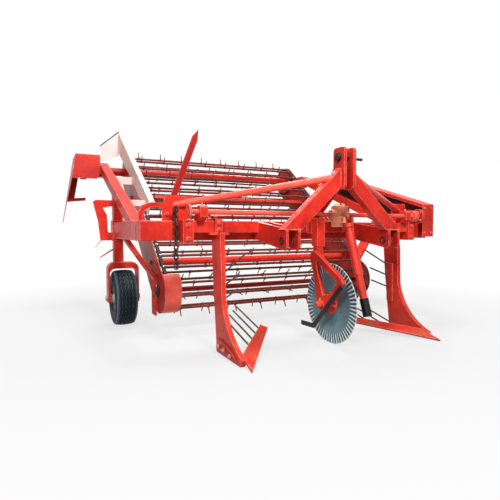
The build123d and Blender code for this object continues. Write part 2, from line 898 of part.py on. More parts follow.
def loop_place(s):
    arc = math.pi * loop_r
    if s < lift_length:
        y, z = on_lift(s, loop_r)
        turn = lift_angle
    elif s < lift_length + arc:
        turn = lift_angle - math.degrees((s - lift_length) / loop_r)
        y = head_y - loop_r * math.sin(math.radians(turn))
        z = head_z + loop_r * math.cos(math.radians(turn))
    elif s < 2 * lift_length + arc:
        y, z = on_lift(2 * lift_length + arc - s, -loop_r)
        turn = lift_angle - 180
    else:
        turn = lift_angle - 180 - math.degrees((s - 2 * lift_length - arc) / loop_r)
        y = nose_y - loop_r * math.sin(math.radians(turn))
        z = nose_z + loop_r * math.cos(math.radians(turn))
    return Location((0, y, z), (turn, 0, 0))


bar_places = [loop_place((i + bar_phase) * loop_length / bar_count) for i in range(bar_count)]
tine_places = [(tine_shift + (k - (tine_count - 1) / 2) * tine_pitch, 0) for k in range(tine_count)]
with BuildPart() as rattler_bars:
    with BuildPart(mode=Mode.PRIVATE) as one_bar:
        with BuildSketch(Plane.YZ.offset(-strand_in + seat)):
            RegularPolygon(rattler_r, 6)
        extrude(amount=2 * (strand_in - seat))
        with BuildSketch(Plane.XY):
            with Locations(*tine_places):
                RegularPolygon(tine_r, 3)
        extrude(amount=tine_reach)
    with Locations(*bar_places):
        add(one_bar.part)
store(rattler_bars, "rattler_bars")

# Curved guards over the nose at both ends, and the hangers from the side arms
with BuildPart() as nose_guards:
    for x in (-plate_in, plate_in - nose_guard_w):
        with BuildSketch(at_x(x)):
            with Locations((nose_y, nose_z)):
                Circle(nose_guard_r)
                Circle(nose_guard_r - sheet, mode=Mode.SUBTRACT)
            with Locations(on_lift(nose_guard_r, 0)):
                Rectangle(2 * nose_guard_r, 4 * nose_guard_r, rotation=lift_angle, mode=Mode.SUBTRACT)
        extrude(amount=nose_guard_w)
store(nose_guards, "nose_guards")

with BuildPart() as hanger_left:
    with BuildSketch(at_y(nose_y + 50)):
        Polygon(
            (-plate_out, nose_z - 200),
            (-plate_out, nose_z + 94),
            (-arm_in - 20, beam_bottom),
            (-arm_in - 56, beam_bottom),
            (-plate_out - 14, nose_z + 74),
            (-plate_out - 14, nose_z - 200),
            align=None,
        )
    extrude(amount=-110)
with BuildPart() as nose_hangers:
    add(hanger_left.part)
    mirror(hanger_left.part, about=Plane.YZ)
store(nose_hangers, "nose_hangers")

# Bearing blocks on the rails' rear ends
with BuildPart() as head_bearings:
    for side in (-1, 1):
        with BuildSketch(at_x(side * (frame_half - arm_width / 2) - arm_width / 2)):
            with Locations((head_y + (bearing_tail - bearing_lead) / 2, head_z + 4)):
                Rectangle(bearing_lead + bearing_tail, bearing_height)
            with Locations((head_y, head_z)):
                Circle(journal_r + seat, mode=Mode.SUBTRACT)
        extrude(amount=arm_width)
store(head_bearings, "head_bearings")

# Gearbox on the front bar, with the fork of the driveline's joint
gearbox_front = -4 - gearbox_d
with BuildPart() as gearbox:
    with BuildSketch(Plane.XY.offset(bar_top - 37)):
        with Locations((gearbox_x, gearbox_front + gearbox_d / 2)):
            RectangleRounded(gearbox_w, gearbox_d, 18)
    extrude(amount=gearbox_h)
    with BuildSketch(Plane.XY.offset(bar_top)):
        with Locations((gearbox_x, 18)):
            Rectangle(gearbox_w + 40, 92)
    extrude(amount=16)
    with BuildSketch(at_y(gearbox_front)):
        with Locations((joint_x, joint_z)):
            Circle(30)
    extrude(amount=14)
    with BuildSketch(at_y(gearbox_front - 14)):
        with Locations((joint_x, joint_z)):
            Circle(18)
    extrude(amount=gearbox_front - joint_y - 40)
    with BuildSketch(at_y(joint_y + 40)):
        with Locations((joint_x, joint_z)):
            Rectangle(88, 48)
    extrude(amount=14)
    for x in (joint_x - 44, joint_x + 30):
        with BuildSketch(at_x(x)):
            Polygon(
                (joint_y + 26, joint_z - 24),
                (joint_y + 26, joint_z + 24),
                (joint_y - 20, joint_z + 20),
                (joint_y - 20, joint_z - 20),
                align=None,
            )
            with Locations((joint_y, joint_z)):
                Circle(joint_pin_r + slip, mode=Mode.SUBTRACT)
        extrude(amount=14)
    with BuildSketch(at_x(gearbox_x - gearbox_w / 2 - 16)):
        with Locations((shaft_y, shaft_z)):
            Circle(shaft_r + 20)
    extrude(amount=gearbox_w + 32)
    with BuildSketch(at_x(gearbox_x - gearbox_w)):
        with Locations((shaft_y, shaft_z)):
            Circle(shaft_r + slip)
    extrude(amount=2 * gearbox_w, mode=Mode.SUBTRACT)
store(gearbox, "gearbox")

# Cross shaft; columns are start, length and radius
with BuildPart() as cross_shaft:
    for start, length, radius in (
        (-bar_half - 45, bar_half + 45 + drive_bracket_in + bracket_wall + 38, shaft_r),
        (-bar_half - 43, 14, shaft_r + 30),
        (bar_half + 17, shaft_hub_w, shaft_hub_r),
    ):
        with BuildSketch(at_x(start)):
            with Locations((shaft_y, shaft_z)):
                Circle(radius)
        extrude(amount=length)
store(cross_shaft, "cross_shaft")

with BuildPart() as shaft_bearings:
    for x in (-bar_half + 27, bar_half - 77):
        with BuildSketch(at_x(x)):
            Polygon(
                (shaft_y - 36, shaft_z - 30),
                (shaft_y - 36, shaft_z + 30),
                (shaft_y - 20, shaft_z + 40),
                (shaft_y + 20, shaft_z + 40),
                (shaft_y + 38, shaft_z + 26),
                (bar_size - 16, bar_top + 14),
                (bar_size - 16, bar_top),
                (shaft_y + 10, bar_top),
                (shaft_y - 10, shaft_z - 38),
                align=None,
            )
            with Locations((shaft_y, shaft_z)):
                Circle(shaft_r + slip, mode=Mode.SUBTRACT)
        extrude(amount=50)
store(shaft_bearings, "shaft_bearings")

# Bracket that carries the cross shaft's right end from the beam
with BuildPart() as drive_bracket:
    with BuildSketch(at_x(drive_bracket_in)):
        Polygon(
            (shaft_y, shaft_z + bracket_end_r),
            (beam_front + 64, bar_top + 60),
            (beam_front + 64, bar_top),
            (beam_front, bar_top),
            (shaft_y, shaft_z - bracket_end_r),
            align=None,
        )
        with Locations((shaft_y, shaft_z)):
            Circle(bracket_end_r)
        with Locations((shaft_y, shaft_z)):
            Circle(shaft_r + slip, mode=Mode.SUBTRACT)
    extrude(amount=2 * bracket_wall)
store(drive_bracket, "drive_bracket")

# Long guard over the right rail: an open channel with a closed nose and a lip along its top
side_guard_in = frame_half - side_guard_w
guard_bend = head_y - 909
guard_end = head_y - 569
nose_top = bar_top + side_guard_rise
nose_foot = bar_top - side_guard_fall
bend_top = rail_top(guard_bend) + 202
end_top = rail_top(guard_end) + 82
with BuildPart() as right_guard_cut:
    with BuildSketch(at_x(side_guard_in)):
        Polygon(
            (0, nose_foot),
            (0, nose_top),
            (guard_bend, bend_top),
            (guard_end, end_top),
            (guard_end, rail_top(guard_end)),
            (rail_foot, bar_top),
            (beam_front, bar_top),
            (beam_front, nose_foot),
            align=None,
        )
    extrude(amount=side_guard_w)
    with BuildSketch(at_x(side_guard_in - 10)):
        Polygon(
            (sheet, nose_foot - 1),
            (sheet, nose_top - sheet),
            (guard_bend + 1, bend_top - sheet),
            (guard_end + 1, end_top - sheet),
            (guard_end + 1, rail_top(guard_end) - 1),
            (rail_foot, bar_top - 1),
            (beam_front, bar_top - 1),
            (beam_front, nose_foot - 1),
            align=None,
        )
    extrude(amount=side_guard_w + 10 - sheet, mode=Mode.SUBTRACT)
    with BuildSketch(at_x(side_guard_in)):
        Polygon(
            (0, nose_top),
            (guard_bend, bend_top),
            (guard_end, end_top),
            (guard_end, end_top - side_guard_lip),
            (guard_bend, bend_top - side_guard_lip),
            (0, nose_top - side_guard_lip),
            align=None,
        )
    extrude(amount=sheet)
    add(brace_brackets.part, mode=Mode.SUBTRACT)
with BuildPart() as right_guard:
    add(right_guard_cut.part.solids().sort_by(SortBy.VOLUME)[-1])
store(right_guard, "right_guard")

# Pale shield over the left edge of the elevator, with its flange, head plate and two struts
foot_low = on_lift(478, 359)
foot_high = on_lift(466, 471)
head_high = on_lift(lift_length + 394, 252)
head_low = on_lift(lift_length + 327, 72)
head_inner = on_lift(lift_length + 81, 116)
shield_rise = (head_inner[1] - foot_low[1]) / (head_inner[0] - foot_low[0])
with BuildPart() as left_shield:
    with BuildSketch(at_x(-shield_x)):
        Polygon(foot_low, foot_high, head_high, head_low, head_inner, align=None)
    extrude(amount=sheet)
    with BuildSketch(at_x(-shield_x + sheet)):
        Polygon(
            foot_high,
            head_high,
            (head_high[0] + 2, head_high[1] - sheet),
            (foot_high[0] + 2, foot_high[1] - sheet),
            align=None,
        )
    extrude(amount=flange_w)
    with BuildSketch(at_y(head_y + 131)):
        Polygon(
            (-shield_x, head_z + 191),
            (-shield_x, head_z + 431),
            (-shield_x - 180, head_z + 276),
            (-shield_x - 180, head_z + 121),
            align=None,
        )
    extrude(amount=-sheet)
    for y in (nose_y + 250, head_y - 569):
        low_z = min(rail_top(y), foot_low[1] + shield_rise * (y - foot_low[0]) + 80) - 60
        high_z = max(rail_top(y) - 40, foot_low[1] + shield_rise * (y - foot_low[0]) + 40)
        with BuildSketch(at_x(-arm_in)):
            with Locations((y, (low_z + high_z) / 2)):
                Rectangle(10, high_z - low_z)
        extrude(amount=arm_in - shield_x)
store(left_shield, "left_shield")

# Rear guard over the left end of the head shaft, with its leaning wing and its back frame
guard_run = guard_rear - guard_front
wing_lean = (guard_flare - guard_left) / (guard_top - guard_tail)
wing_up = Vector(wing_lean, 0, 1)
wing_plane = Plane(
    origin=(-guard_left, guard_front, guard_top), x_dir=(0, 1, 0), z_dir=Vector(0, 1, 0).cross(wing_up)
)


def wing_x(z):
    return -guard_left - wing_lean * (guard_top - z)


def down_wing(z):
    return (z - guard_top) * wing_up.length


with BuildPart() as rear_guard:
    with BuildSketch(at_y(guard_front)):
        Polygon(
            (wing_x(guard_low), guard_low),
            (wing_x(guard_top), guard_top),
            (-frame_half, guard_top),
            (-frame_half, guard_low + 60),
            (-frame_half - 34, guard_low),
            align=None,
        )
    extrude(amount=-sheet)
    with BuildSketch(Plane.XY.offset(guard_top - sheet)):
        Polygon(
            (-guard_left, guard_front),
            (-guard_left, guard_rear),
            (-frame_half, guard_rear),
            (-frame_half, guard_front),
            align=None,
        )
    extrude(amount=sheet)
    with BuildSketch(wing_plane):
        Polygon(
            (0, down_wing(guard_low)),
            (0, 0),
            (guard_run, 0),
            (guard_run, down_wing(guard_tail)),
            (guard_run - 44, down_wing(guard_tail)),
            align=None,
        )
    extrude(amount=sheet)
    with BuildSketch(at_y(guard_rear - sheet)):
        frame_foot = guard_low - 210
        Polygon(
            (wing_x(guard_top) + 2, guard_top - sheet / 2),
            (wing_x(frame_foot) + 2, frame_foot),
            (wing_x(frame_foot) + 190, frame_foot + 20),
            (wing_x(frame_foot) + 190, frame_foot + 50),
            (wing_x(frame_foot) + 82, frame_foot + 42),
            (wing_x(guard_top) + 82, guard_top - sheet / 2),
            align=None,
        )
    extrude(amount=-sheet)
store(rear_guard, "rear_guard")

# Hanging chain beside the left clamp, on a hook that stands on the beam
link_step = link_long - 2 * link_wire - seat
chain_y = beam_front - 20
hook_top = bar_top + 85
link_outline = [
    (sx * px, sz * pz)
    for sx, sz, flip in ((1, 1, 0), (-1, 1, 1), (-1, -1, 0), (1, -1, 1))
    for px, pz in (
        ((link_wide / 2, link_long / 2 - link_wire), (link_wide / 2 - link_wire, link_long / 2))[:: -1 if flip else 1]
    )
]
with BuildPart() as hook:
    with BuildSketch(at_x(chain_x - 7)):
        Polygon(
            (beam_front + 4, bar_top),
            (beam_front + 40, bar_top),
            (beam_front + 20, hook_top),
            (beam_front - 36, hook_top),
            (beam_front - 36, hook_top - 12),
            (beam_front + 4, hook_top - 12),
            align=None,
        )
    extrude(amount=14)
with BuildPart() as lift_chain:
    add(hook.part)
    for k in range(link_count):
        middle = hook_top + seat + link_wire - link_long / 2 - k * link_step
        flat = Plane(
            origin=(chain_x, chain_y, middle),
            x_dir=(1, 0, 0) if k % 2 == 0 else (0, 1, 0),
            z_dir=(0, -1, 0) if k % 2 == 0 else (1, 0, 0),
        )
        with BuildSketch(flat):
            Polygon(*link_outline, align=None)
            Rectangle(link_wide - 2 * link_wire, link_long - 2 * link_wire, mode=Mode.SUBTRACT)
        extrude(amount=link_wire / 2, both=True)
store(lift_chain, "lift_chain")

# Driveline hanging from the gearbox's joint, with an open splined end; columns are
# where a length starts and ends along it and its radius
line_dir = Vector(0, -math.sin(math.radians(hang_angle)), -math.cos(math.radians(hang_angle)))
line_plane = Plane(origin=(joint_x, joint_y, joint_z), x_dir=(1, 0, 0), z_dir=line_dir)
line_steps = (
    (34, 58, 37),
    (58, 96, 25),
    (96, driveline_length - 280, 31),
    (driveline_length - 280, driveline_length - 120, 26),
    (driveline_length - 120, driveline_length, pto_bore_r + 12.5),
)
with BuildPart() as driveline:
    for near, far, radius in line_steps:
        with BuildSketch(line_plane.offset(near)):
            Circle(radius)
        extrude(amount=far - near)
    with BuildSketch(line_plane.offset(-19)):
        with Locations((22, 0), (-22, 0)):
            Rectangle(14, 32)
    extrude(amount=60)
    for reach, radius in ((20, joint_pin_r + 4), (44, joint_pin_r)):
        with BuildSketch(Plane(origin=(joint_x - reach, joint_y, joint_z), z_dir=(1, 0, 0))):
            Circle(radius)
        extrude(amount=2 * reach)
    with BuildSketch(line_plane.offset(driveline_length - pto_bore_depth)):
        Circle(pto_bore_r)
    extrude(amount=pto_bore_depth, mode=Mode.SUBTRACT)
store(driveline, "driveline")
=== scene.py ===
import math

import bmesh
import bpy
from mathutils import Matrix, Vector


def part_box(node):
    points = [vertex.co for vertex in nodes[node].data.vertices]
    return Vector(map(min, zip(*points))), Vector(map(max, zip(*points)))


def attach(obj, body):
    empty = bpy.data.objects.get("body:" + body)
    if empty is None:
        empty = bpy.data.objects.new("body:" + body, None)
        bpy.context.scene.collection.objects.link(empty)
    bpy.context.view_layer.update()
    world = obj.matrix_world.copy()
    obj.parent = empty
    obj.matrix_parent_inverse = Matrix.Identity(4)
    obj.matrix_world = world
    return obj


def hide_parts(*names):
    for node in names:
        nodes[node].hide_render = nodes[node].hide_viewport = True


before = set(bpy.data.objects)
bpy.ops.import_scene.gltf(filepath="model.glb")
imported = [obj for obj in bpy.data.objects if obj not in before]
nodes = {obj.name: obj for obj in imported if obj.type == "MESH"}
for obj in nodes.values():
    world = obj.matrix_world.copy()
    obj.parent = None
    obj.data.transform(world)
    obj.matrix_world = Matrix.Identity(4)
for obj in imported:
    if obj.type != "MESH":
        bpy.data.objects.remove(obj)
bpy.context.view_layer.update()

# Places are given in millimetres from the mast's centre line, the front bar's face and the floor.
beam_low, beam_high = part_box("main_beam")
bar_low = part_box("front_bar")[0]
centre_x = (beam_low.x + beam_high.x) / 2
front_y = bar_low.y


def spot(x, y, z):
    return Vector((centre_x + x / 1000, front_y + y / 1000, z / 1000))


def mm(length):
    return length / 1000


def tint(red, green, blue):
    """A colour as it looks on screen, turned into the shader's own scale."""
    scale = []
    for level in (red, green, blue):
        level = level / 255
        scale.append(level / 12.92 if level <= 0.04045 else ((level + 0.055) / 1.055) ** 2.4)
    return (*scale, 1.0)


# Sizes of the machine that the added pieces sit on
bar_top = 847.0
beam_rear = 203.0
bar_half = 917.0
frame_half = 1228.0
arm_in = 1152.0
standard_x = 748.0
wheel_x = 1160.0
wheel_y = 1090.0
tyre_r = 228.5
post_x = 1190.0
post_y = 1120.0
sleeve_half = 48.0
crown_top = 524.0
hitch_half = 408.0
hitch_y, hitch_z = -311.0, 721.0
ear_faces = (35.0, 51.0)
lug_out = 48.0
hanger_out = 987.0
shoe_in = 763.0
shoe_wall = 11.0
top_pin_y, top_pin_z = -330.0, 1251.0
disc_x, disc_y, disc_z = 30.0, -155.0, 279.0
flute_count = 30
gearbox_x = 186.0
gearbox_top = bar_top + 113
guard_inside = 1110.0
hang_angle = math.radians(19.0)
bare_end = 560.0
joint_x, joint_y, joint_z = 160.0, -165.0, 858.0
shaft_y, shaft_z = -30.0, 900.0
nose_y, nose_z = 650.0, 326.0
lift_angle = math.radians(38.6)
lift_length = 1688.0
loop_r = 150.0
bar_count = 33
bar_phase = 0.75
strand_mid = 938.0
tine_count = 8
tine_pitch = 231.0
tine_shift = -20.0
plate_out = 973.0
head_y = nose_y + lift_length * math.cos(lift_angle)
head_z = nose_z + lift_length * math.sin(lift_angle)

LEFT, RIGHT = Vector((-1, 0, 0)), Vector((1, 0, 0))
FRONT, BACK = Vector((0, -1, 0)), Vector((0, 1, 0))
UP = Vector((0, 0, 1))


def on_lift(along, off):
    """A place on the elevator's slope, as its distance back and its height."""
    return (
        nose_y + along * math.cos(lift_angle) - off * math.sin(lift_angle),
        nose_z + along * math.sin(lift_angle) + off * math.cos(lift_angle),
    )


# Shader effects that several finishes share


def new_effect(name, inputs, outputs):
    group = bpy.data.node_groups.new(name, "ShaderNodeTree")
    for socket, kind, value in inputs:
        made = group.interface.new_socket(name=socket, in_out="INPUT", socket_type=kind)
        if value is not None:
            made.default_value = value
    for socket, kind in outputs:
        group.interface.new_socket(name=socket, in_out="OUTPUT", socket_type=kind)
    return group, group.nodes.new("NodeGroupInput"), group.nodes.new("NodeGroupOutput")


def put(tree, kind, **settings):
    node = tree.nodes.new(kind)
    for key, value in settings.items():
        setattr(node, key, value)
    return node


def sums(tree, how, first, second=None):
    """A maths node fed by sockets or plain numbers; gives its result."""
    node = put(tree, "ShaderNodeMath", operation=how)
    for slot, value in enumerate((first, second)):
        if value is None:
            continue
        if isinstance(value, (int, float)):
            node.inputs[slot].default_value = value
        else:
            tree.links.new(value, node.inputs[slot])
    return node.outputs[0]


def spread(tree, value, low, high, new_low=0.0, new_high=1.0):
    node = put(tree, "ShaderNodeMapRange", clamp=True)
    tree.links.new(value, node.inputs["Value"])
    for socket, number in (("From Min", low), ("From Max", high), ("To Min", new_low), ("To Max", new_high)):
        node.inputs[socket].default_value = number
    return node.outputs["Result"]


def cloud(tree, vector, scale, detail, rough=0.55):
    node = put(tree, "ShaderNodeTexNoise")
    tree.links.new(vector, node.inputs["Vector"])
    if isinstance(scale, (int, float)):
        node.inputs["Scale"].default_value = scale
    else:
        tree.links.new(scale, node.inputs["Scale"])
    node.inputs["Detail"].default_value = detail
    node.inputs["Roughness"].default_value = rough
    return node.outputs["Fac"]


def blended(tree, factor, first, second):
    node = put(tree, "ShaderNodeMix", data_type="RGBA")
    tree.links.new(factor, node.inputs["Factor"])
    for socket, value in ((node.inputs[6], first), (node.inputs[7], second)):
        if isinstance(value, tuple):
            socket.default_value = value
        else:
            tree.links.new(value, socket)
    return node.outputs[2]


VECTOR, NUMBER, COLOUR = "NodeSocketVector", "NodeSocketFloat", "NodeSocketColor"


def tone_drift_effect():
    """Colour that drifts between a deep and a bright tone, as sprayed paint fades."""
    group, given, result = new_effect(
        "tone_drift",
        [("Vector", VECTOR, None), ("Scale", NUMBER, 4.0), ("Deep", COLOUR, None), ("Bright", COLOUR, None)],
        [("Color", COLOUR), ("Value", NUMBER)],
    )
    broad = cloud(group, given.outputs["Vector"], given.outputs["Scale"], 4.0)
    finer = cloud(group, given.outputs["Vector"], sums(group, "MULTIPLY", given.outputs["Scale"], 9.0), 3.0, 0.6)
    mixed = sums(group, "ADD", sums(group, "MULTIPLY", broad, 0.7), sums(group, "MULTIPLY", finer, 0.3))
    value = spread(group, mixed, 0.32, 0.68)
    group.links.new(blended(group, value, given.outputs["Deep"], given.outputs["Bright"]), result.inputs["Color"])
    group.links.new(value, result.inputs["Value"])
    return group


def edge_wear_and_highlight_effect():
    """Mask that is strong along corners and broken up by small chips: partly real rubbed wear, partly a painted
    highlight on the edges.
    """
    group, given, result = new_effect(
        "edge_wear_and_highlight",
        [("Vector", VECTOR, None), ("Radius", NUMBER, 0.004), ("Chips", NUMBER, 40.0)],
        [("Mask", NUMBER)],
    )
    rounded = put(group, "ShaderNodeBevel", samples=4)
    group.links.new(given.outputs["Radius"], rounded.inputs["Radius"])
    surface = put(group, "ShaderNodeNewGeometry")
    along = put(group, "ShaderNodeVectorMath", operation="DOT_PRODUCT")
    group.links.new(rounded.outputs["Normal"], along.inputs[0])
    group.links.new(surface.outputs["Normal"], along.inputs[1])
    corner = spread(group, along.outputs["Value"], 0.992, 0.86)
    chips = spread(group, cloud(group, given.outputs["Vector"], given.outputs["Chips"], 4.0, 0.65), 0.36, 0.54)
    group.links.new(sums(group, "MULTIPLY", corner, chips), result.inputs["Mask"])
    return group


def field_dust_effect():
    """Mask of dried soil: more of it low down and on faces that look up."""
    group, given, result = new_effect(
        "field_dust",
        [("Vector", VECTOR, None), ("Top", NUMBER, 0.5), ("Scale", NUMBER, 8.0)],
        [("Mask", NUMBER)],
    )
    place = put(group, "ShaderNodeSeparateXYZ")
    group.links.new(given.outputs["Vector"], place.inputs[0])
    height = sums(group, "DIVIDE", place.outputs["Z"], given.outputs["Top"])
    low_down = spread(group, height, 1.0, 0.0)
    surface = put(group, "ShaderNodeNewGeometry")
    facing = put(group, "ShaderNodeSeparateXYZ")
    group.links.new(surface.outputs["Normal"], facing.inputs[0])
    upward = spread(group, facing.outputs["Z"], -0.2, 0.9, 0.45, 1.0)
    patches = spread(group, cloud(group, given.outputs["Vector"], given.outputs["Scale"], 6.0, 0.62), 0.40, 0.66)
    group.links.new(
        sums(group, "MULTIPLY", sums(group, "MULTIPLY", low_down, upward), patches), result.inputs["Mask"]
    )
    return group


def skin_effect():
    """Height of a sprayed or cast skin: slow waves under a fine grain."""
    group, given, result = new_effect(
        "skin",
        [("Vector", VECTOR, None), ("Waves", NUMBER, 30.0), ("Grain", NUMBER, 400.0)],
        [("Height", NUMBER)],
    )
    waves = cloud(group, given.outputs["Vector"], given.outputs["Waves"], 2.0)
    grain = cloud(group, given.outputs["Vector"], given.outputs["Grain"], 2.0)
    group.links.new(
        sums(group, "ADD", sums(group, "MULTIPLY", waves, 0.75), sums(group, "MULTIPLY", grain, 0.25)),
        result.inputs["Height"],
    )
    return group


tone_drift = tone_drift_effect()
edge_wear_and_highlight = edge_wear_and_highlight_effect()
field_dust = field_dust_effect()
skin = skin_effect()

SOIL = tint(150, 112, 78)
SHADED = tint(30, 12, 12)


def effect(tree, group, vector, **values):
    node = put(tree, "ShaderNodeGroup", node_tree=group)
    tree.links.new(vector, node.inputs["Vector"])
    for socket, value in values.items():
        node.inputs[socket].default_value = value
    return node


def start_finish(name):
    material = bpy.data.materials.new(name)
    material.use_nodes = True
    tree = material.node_tree
    shader = tree.nodes["Principled BSDF"]
    where = put(tree, "ShaderNodeTexCoord").outputs["Object"]
    return material, tree, shader, where


def relief(tree, shader, height, depth, rounding=0.0):
    """Bump from a height; a rounding softens the corners that light catches."""
    bump = put(tree, "ShaderNodeBump")
    bump.inputs["Strength"].default_value = 1.0
    bump.inputs["Distance"].default_value = depth
    tree.links.new(height, bump.inputs["Height"])
    if rounding:
        corner = put(tree, "ShaderNodeBevel", samples=4)
        corner.inputs["Radius"].default_value = rounding
        tree.links.new(corner.outputs["Normal"], bump.inputs["Normal"])
    tree.links.new(bump.outputs["Normal"], shader.inputs["Normal"])


def painted_finish(
    name, deep, bright, rubbed_and_highlight, gloss, wear_and_highlight=0.7, dust_top=0.6, dust=0.35, soil=SOIL, dark_part=None, dark=SHADED
):
    """Sprayed paint with soil and pale corners, which are partly rubbed wear and partly a painted highlight; a dark
    part is a mask made by its own function.
    """
    material, tree, shader, where = start_finish(name)
    tone = effect(tree, tone_drift, where, Scale=3.5, Deep=deep, Bright=bright)
    worn_and_lit = effect(tree, edge_wear_and_highlight, where, Radius=0.008, Chips=38.0)
    dirt = effect(tree, field_dust, where, Top=dust_top, Scale=9.0)
    coat = effect(tree, skin, where, Waves=26.0, Grain=420.0)
    rubbed_and_highlight_amount = sums(tree, "MULTIPLY", worn_and_lit.outputs["Mask"], wear_and_highlight)
    dirt_amount = sums(tree, "MULTIPLY", dirt.outputs["Mask"], dust)
    # Pale corners: partly rubbed paint, partly a painted highlight along the edges.
    colour = blended(tree, rubbed_and_highlight_amount, tone.outputs["Color"], rubbed_and_highlight)
    colour = blended(tree, dirt_amount, colour, soil)
    # Some dark parts are painted shade (the guards' insides, the right drum); the driveline's black end is its own
    # colour.
    if dark_part:
        colour = blended(tree, dark_part(tree, where), colour, dark)
    tree.links.new(colour, shader.inputs["Base Color"])
    rough = sums(tree, "ADD", spread(tree, tone.outputs["Value"], 0, 1, gloss + 0.08, gloss - 0.04), dirt_amount)
    tree.links.new(rough, shader.inputs["Roughness"])
    shader.inputs["Specular IOR Level"].default_value = 0.2
    relief(tree, shader, coat.outputs["Height"], 0.0006, 0.003)
    return material


def painted_shade_in_guards(tree, where):
    """Mask of painted shade on the guards' inner faces: those that look in or down are darkened."""
    place = put(tree, "ShaderNodeSeparateXYZ")
    tree.links.new(where, place.inputs[0])
    surface = put(tree, "ShaderNodeNewGeometry")
    facing = put(tree, "ShaderNodeSeparateXYZ")
    tree.links.new(surface.outputs["Normal"], facing.inputs[0])
    right_wall = sums(tree, "GREATER_THAN", place.outputs["X"], spot(guard_inside, 0, 0).x)
    left_wing = sums(tree, "LESS_THAN", place.outputs["X"], spot(-frame_half, 0, 0).x)
    looks_left = sums(tree, "LESS_THAN", facing.outputs["X"], -0.7)
    looks_right = sums(tree, "GREATER_THAN", facing.outputs["X"], 0.7)
    looks_down = sums(tree, "LESS_THAN", facing.outputs["Z"], -0.7)
    inner = sums(
        tree, "MAXIMUM", sums(tree, "MULTIPLY", right_wall, looks_left), sums(tree, "MULTIPLY", left_wing, looks_right)
    )
    patches = spread(tree, cloud(tree, where, 6.0, 4.0), 0.3, 0.6, 0.82, 1.0)
    return sums(tree, "MULTIPLY", sums(tree, "MAXIMUM", inner, looks_down), patches)


def painted_shade_right_side(tree, where):
    """Mask of painted shade on the right side's pieces, darkened in patches."""
    place = put(tree, "ShaderNodeSeparateXYZ")
    tree.links.new(where, place.inputs[0])
    right = sums(tree, "GREATER_THAN", place.outputs["X"], spot(0, 0, 0).x)
    patches = spread(tree, cloud(tree, where, 14.0, 5.0, 0.6), 0.36, 0.62, 0.55, 1.0)
    return sums(tree, "MULTIPLY", right, patches)


def line_end(tree, where):
    """Mask of the driveline's bare end, measured along it from its joint."""
    run = Vector((0, -math.sin(hang_angle), -math.cos(hang_angle)))
    along = put(tree, "ShaderNodeVectorMath", operation="DOT_PRODUCT")
    tree.links.new(where, along.inputs[0])
    along.inputs[1].default_value = run
    start = spot(joint_x, joint_y, joint_z).dot(run)
    return spread(tree, along.outputs["Value"], start + mm(bare_end - 2), start + mm(bare_end + 2))


def steel_finish(name, deep, bright, rough_low, rough_high, rust=0.2, streak=(1.0, 1.0, 1.0)):
    material, tree, shader, where = start_finish(name)
    drawn = put(tree, "ShaderNodeMapping")
    drawn.inputs["Scale"].default_value = streak
    tree.links.new(where, drawn.inputs["Vector"])
    tone = effect(tree, tone_drift, drawn.outputs["Vector"], Scale=14.0, Deep=deep, Bright=bright)
    dirt = effect(tree, field_dust, where, Top=2.5, Scale=16.0)
    coat = effect(tree, skin, drawn.outputs["Vector"], Waves=60.0, Grain=500.0)
    rust_amount = sums(tree, "MULTIPLY", dirt.outputs["Mask"], rust)
    tree.links.new(blended(tree, rust_amount, tone.outputs["Color"], tint(112, 66, 40)), shader.inputs["Base Color"])
    tree.links.new(spread(tree, tone.outputs["Value"], 0, 1, rough_high, rough_low), shader.inputs["Roughness"])
    tree.links.new(spread(tree, rust_amount, 0, 0.5, 1.0, 0.2), shader.inputs["Metallic"])
    relief(tree, shader, coat.outputs["Height"], 0.0004, 0.0015)
    return material


def disc_finish():
    """Coulter steel: a smooth blue-grey middle, flutes near the rim picked out with a painted highlight on one flank
    and painted shade on the other, and a bright edge.
    """
    material, tree, shader, where = start_finish("coulter_steel")
    centred = put(tree, "ShaderNodeMapping")
    centred.inputs["Location"].default_value = -spot(disc_x, disc_y, disc_z)
    tree.links.new(where, centred.inputs["Vector"])
    part = put(tree, "ShaderNodeSeparateXYZ")
    tree.links.new(centred.outputs["Vector"], part.inputs[0])
    turn = sums(tree, "ARCTAN2", part.outputs["Z"], part.outputs["Y"])
    reach = put(tree, "ShaderNodeVectorMath", operation="LENGTH")
    tree.links.new(centred.outputs["Vector"], reach.inputs[0])
    tone = effect(tree, tone_drift, where, Scale=7.0, Deep=tint(70, 104, 112), Bright=tint(122, 156, 164))
    stain = effect(tree, field_dust, where, Top=1.2, Scale=12.0)
    colour = blended(tree, sums(tree, "MULTIPLY", stain.outputs["Mask"], 0.22), tone.outputs["Color"], tint(92, 78, 66))
    flutes = sums(tree, "SINE", sums(tree, "MULTIPLY", turn, 2.0 * flute_count))
    outer = spread(tree, reach.outputs["Value"], mm(204), mm(222))
    # Painted highlight on one flank of each flute and painted shade on the other.
    colour = blended(tree, sums(tree, "MULTIPLY", outer, spread(tree, flutes, 0.1, 0.8)), colour, tint(206, 220, 222))
    colour = blended(tree, sums(tree, "MULTIPLY", outer, spread(tree, flutes, -0.1, -0.8)), colour, tint(44, 66, 76))
    rim = spread(tree, reach.outputs["Value"], mm(270), mm(277))
    colour = blended(tree, sums(tree, "MULTIPLY", rim, 0.6), colour, tint(214, 222, 222))
    tree.links.new(colour, shader.inputs["Base Color"])
    tree.links.new(spread(tree, tone.outputs["Value"], 0, 1, 0.50, 0.36), shader.inputs["Roughness"])
    shader.inputs["Metallic"].default_value = 0.45
    coat = effect(tree, skin, where, Waves=22.0, Grain=380.0)
    ridge = sums(tree, "MULTIPLY", sums(tree, "MULTIPLY", flutes, outer), 3.0)
    relief(tree, shader, sums(tree, "ADD", coat.outputs["Height"], ridge), 0.0006)
    return material


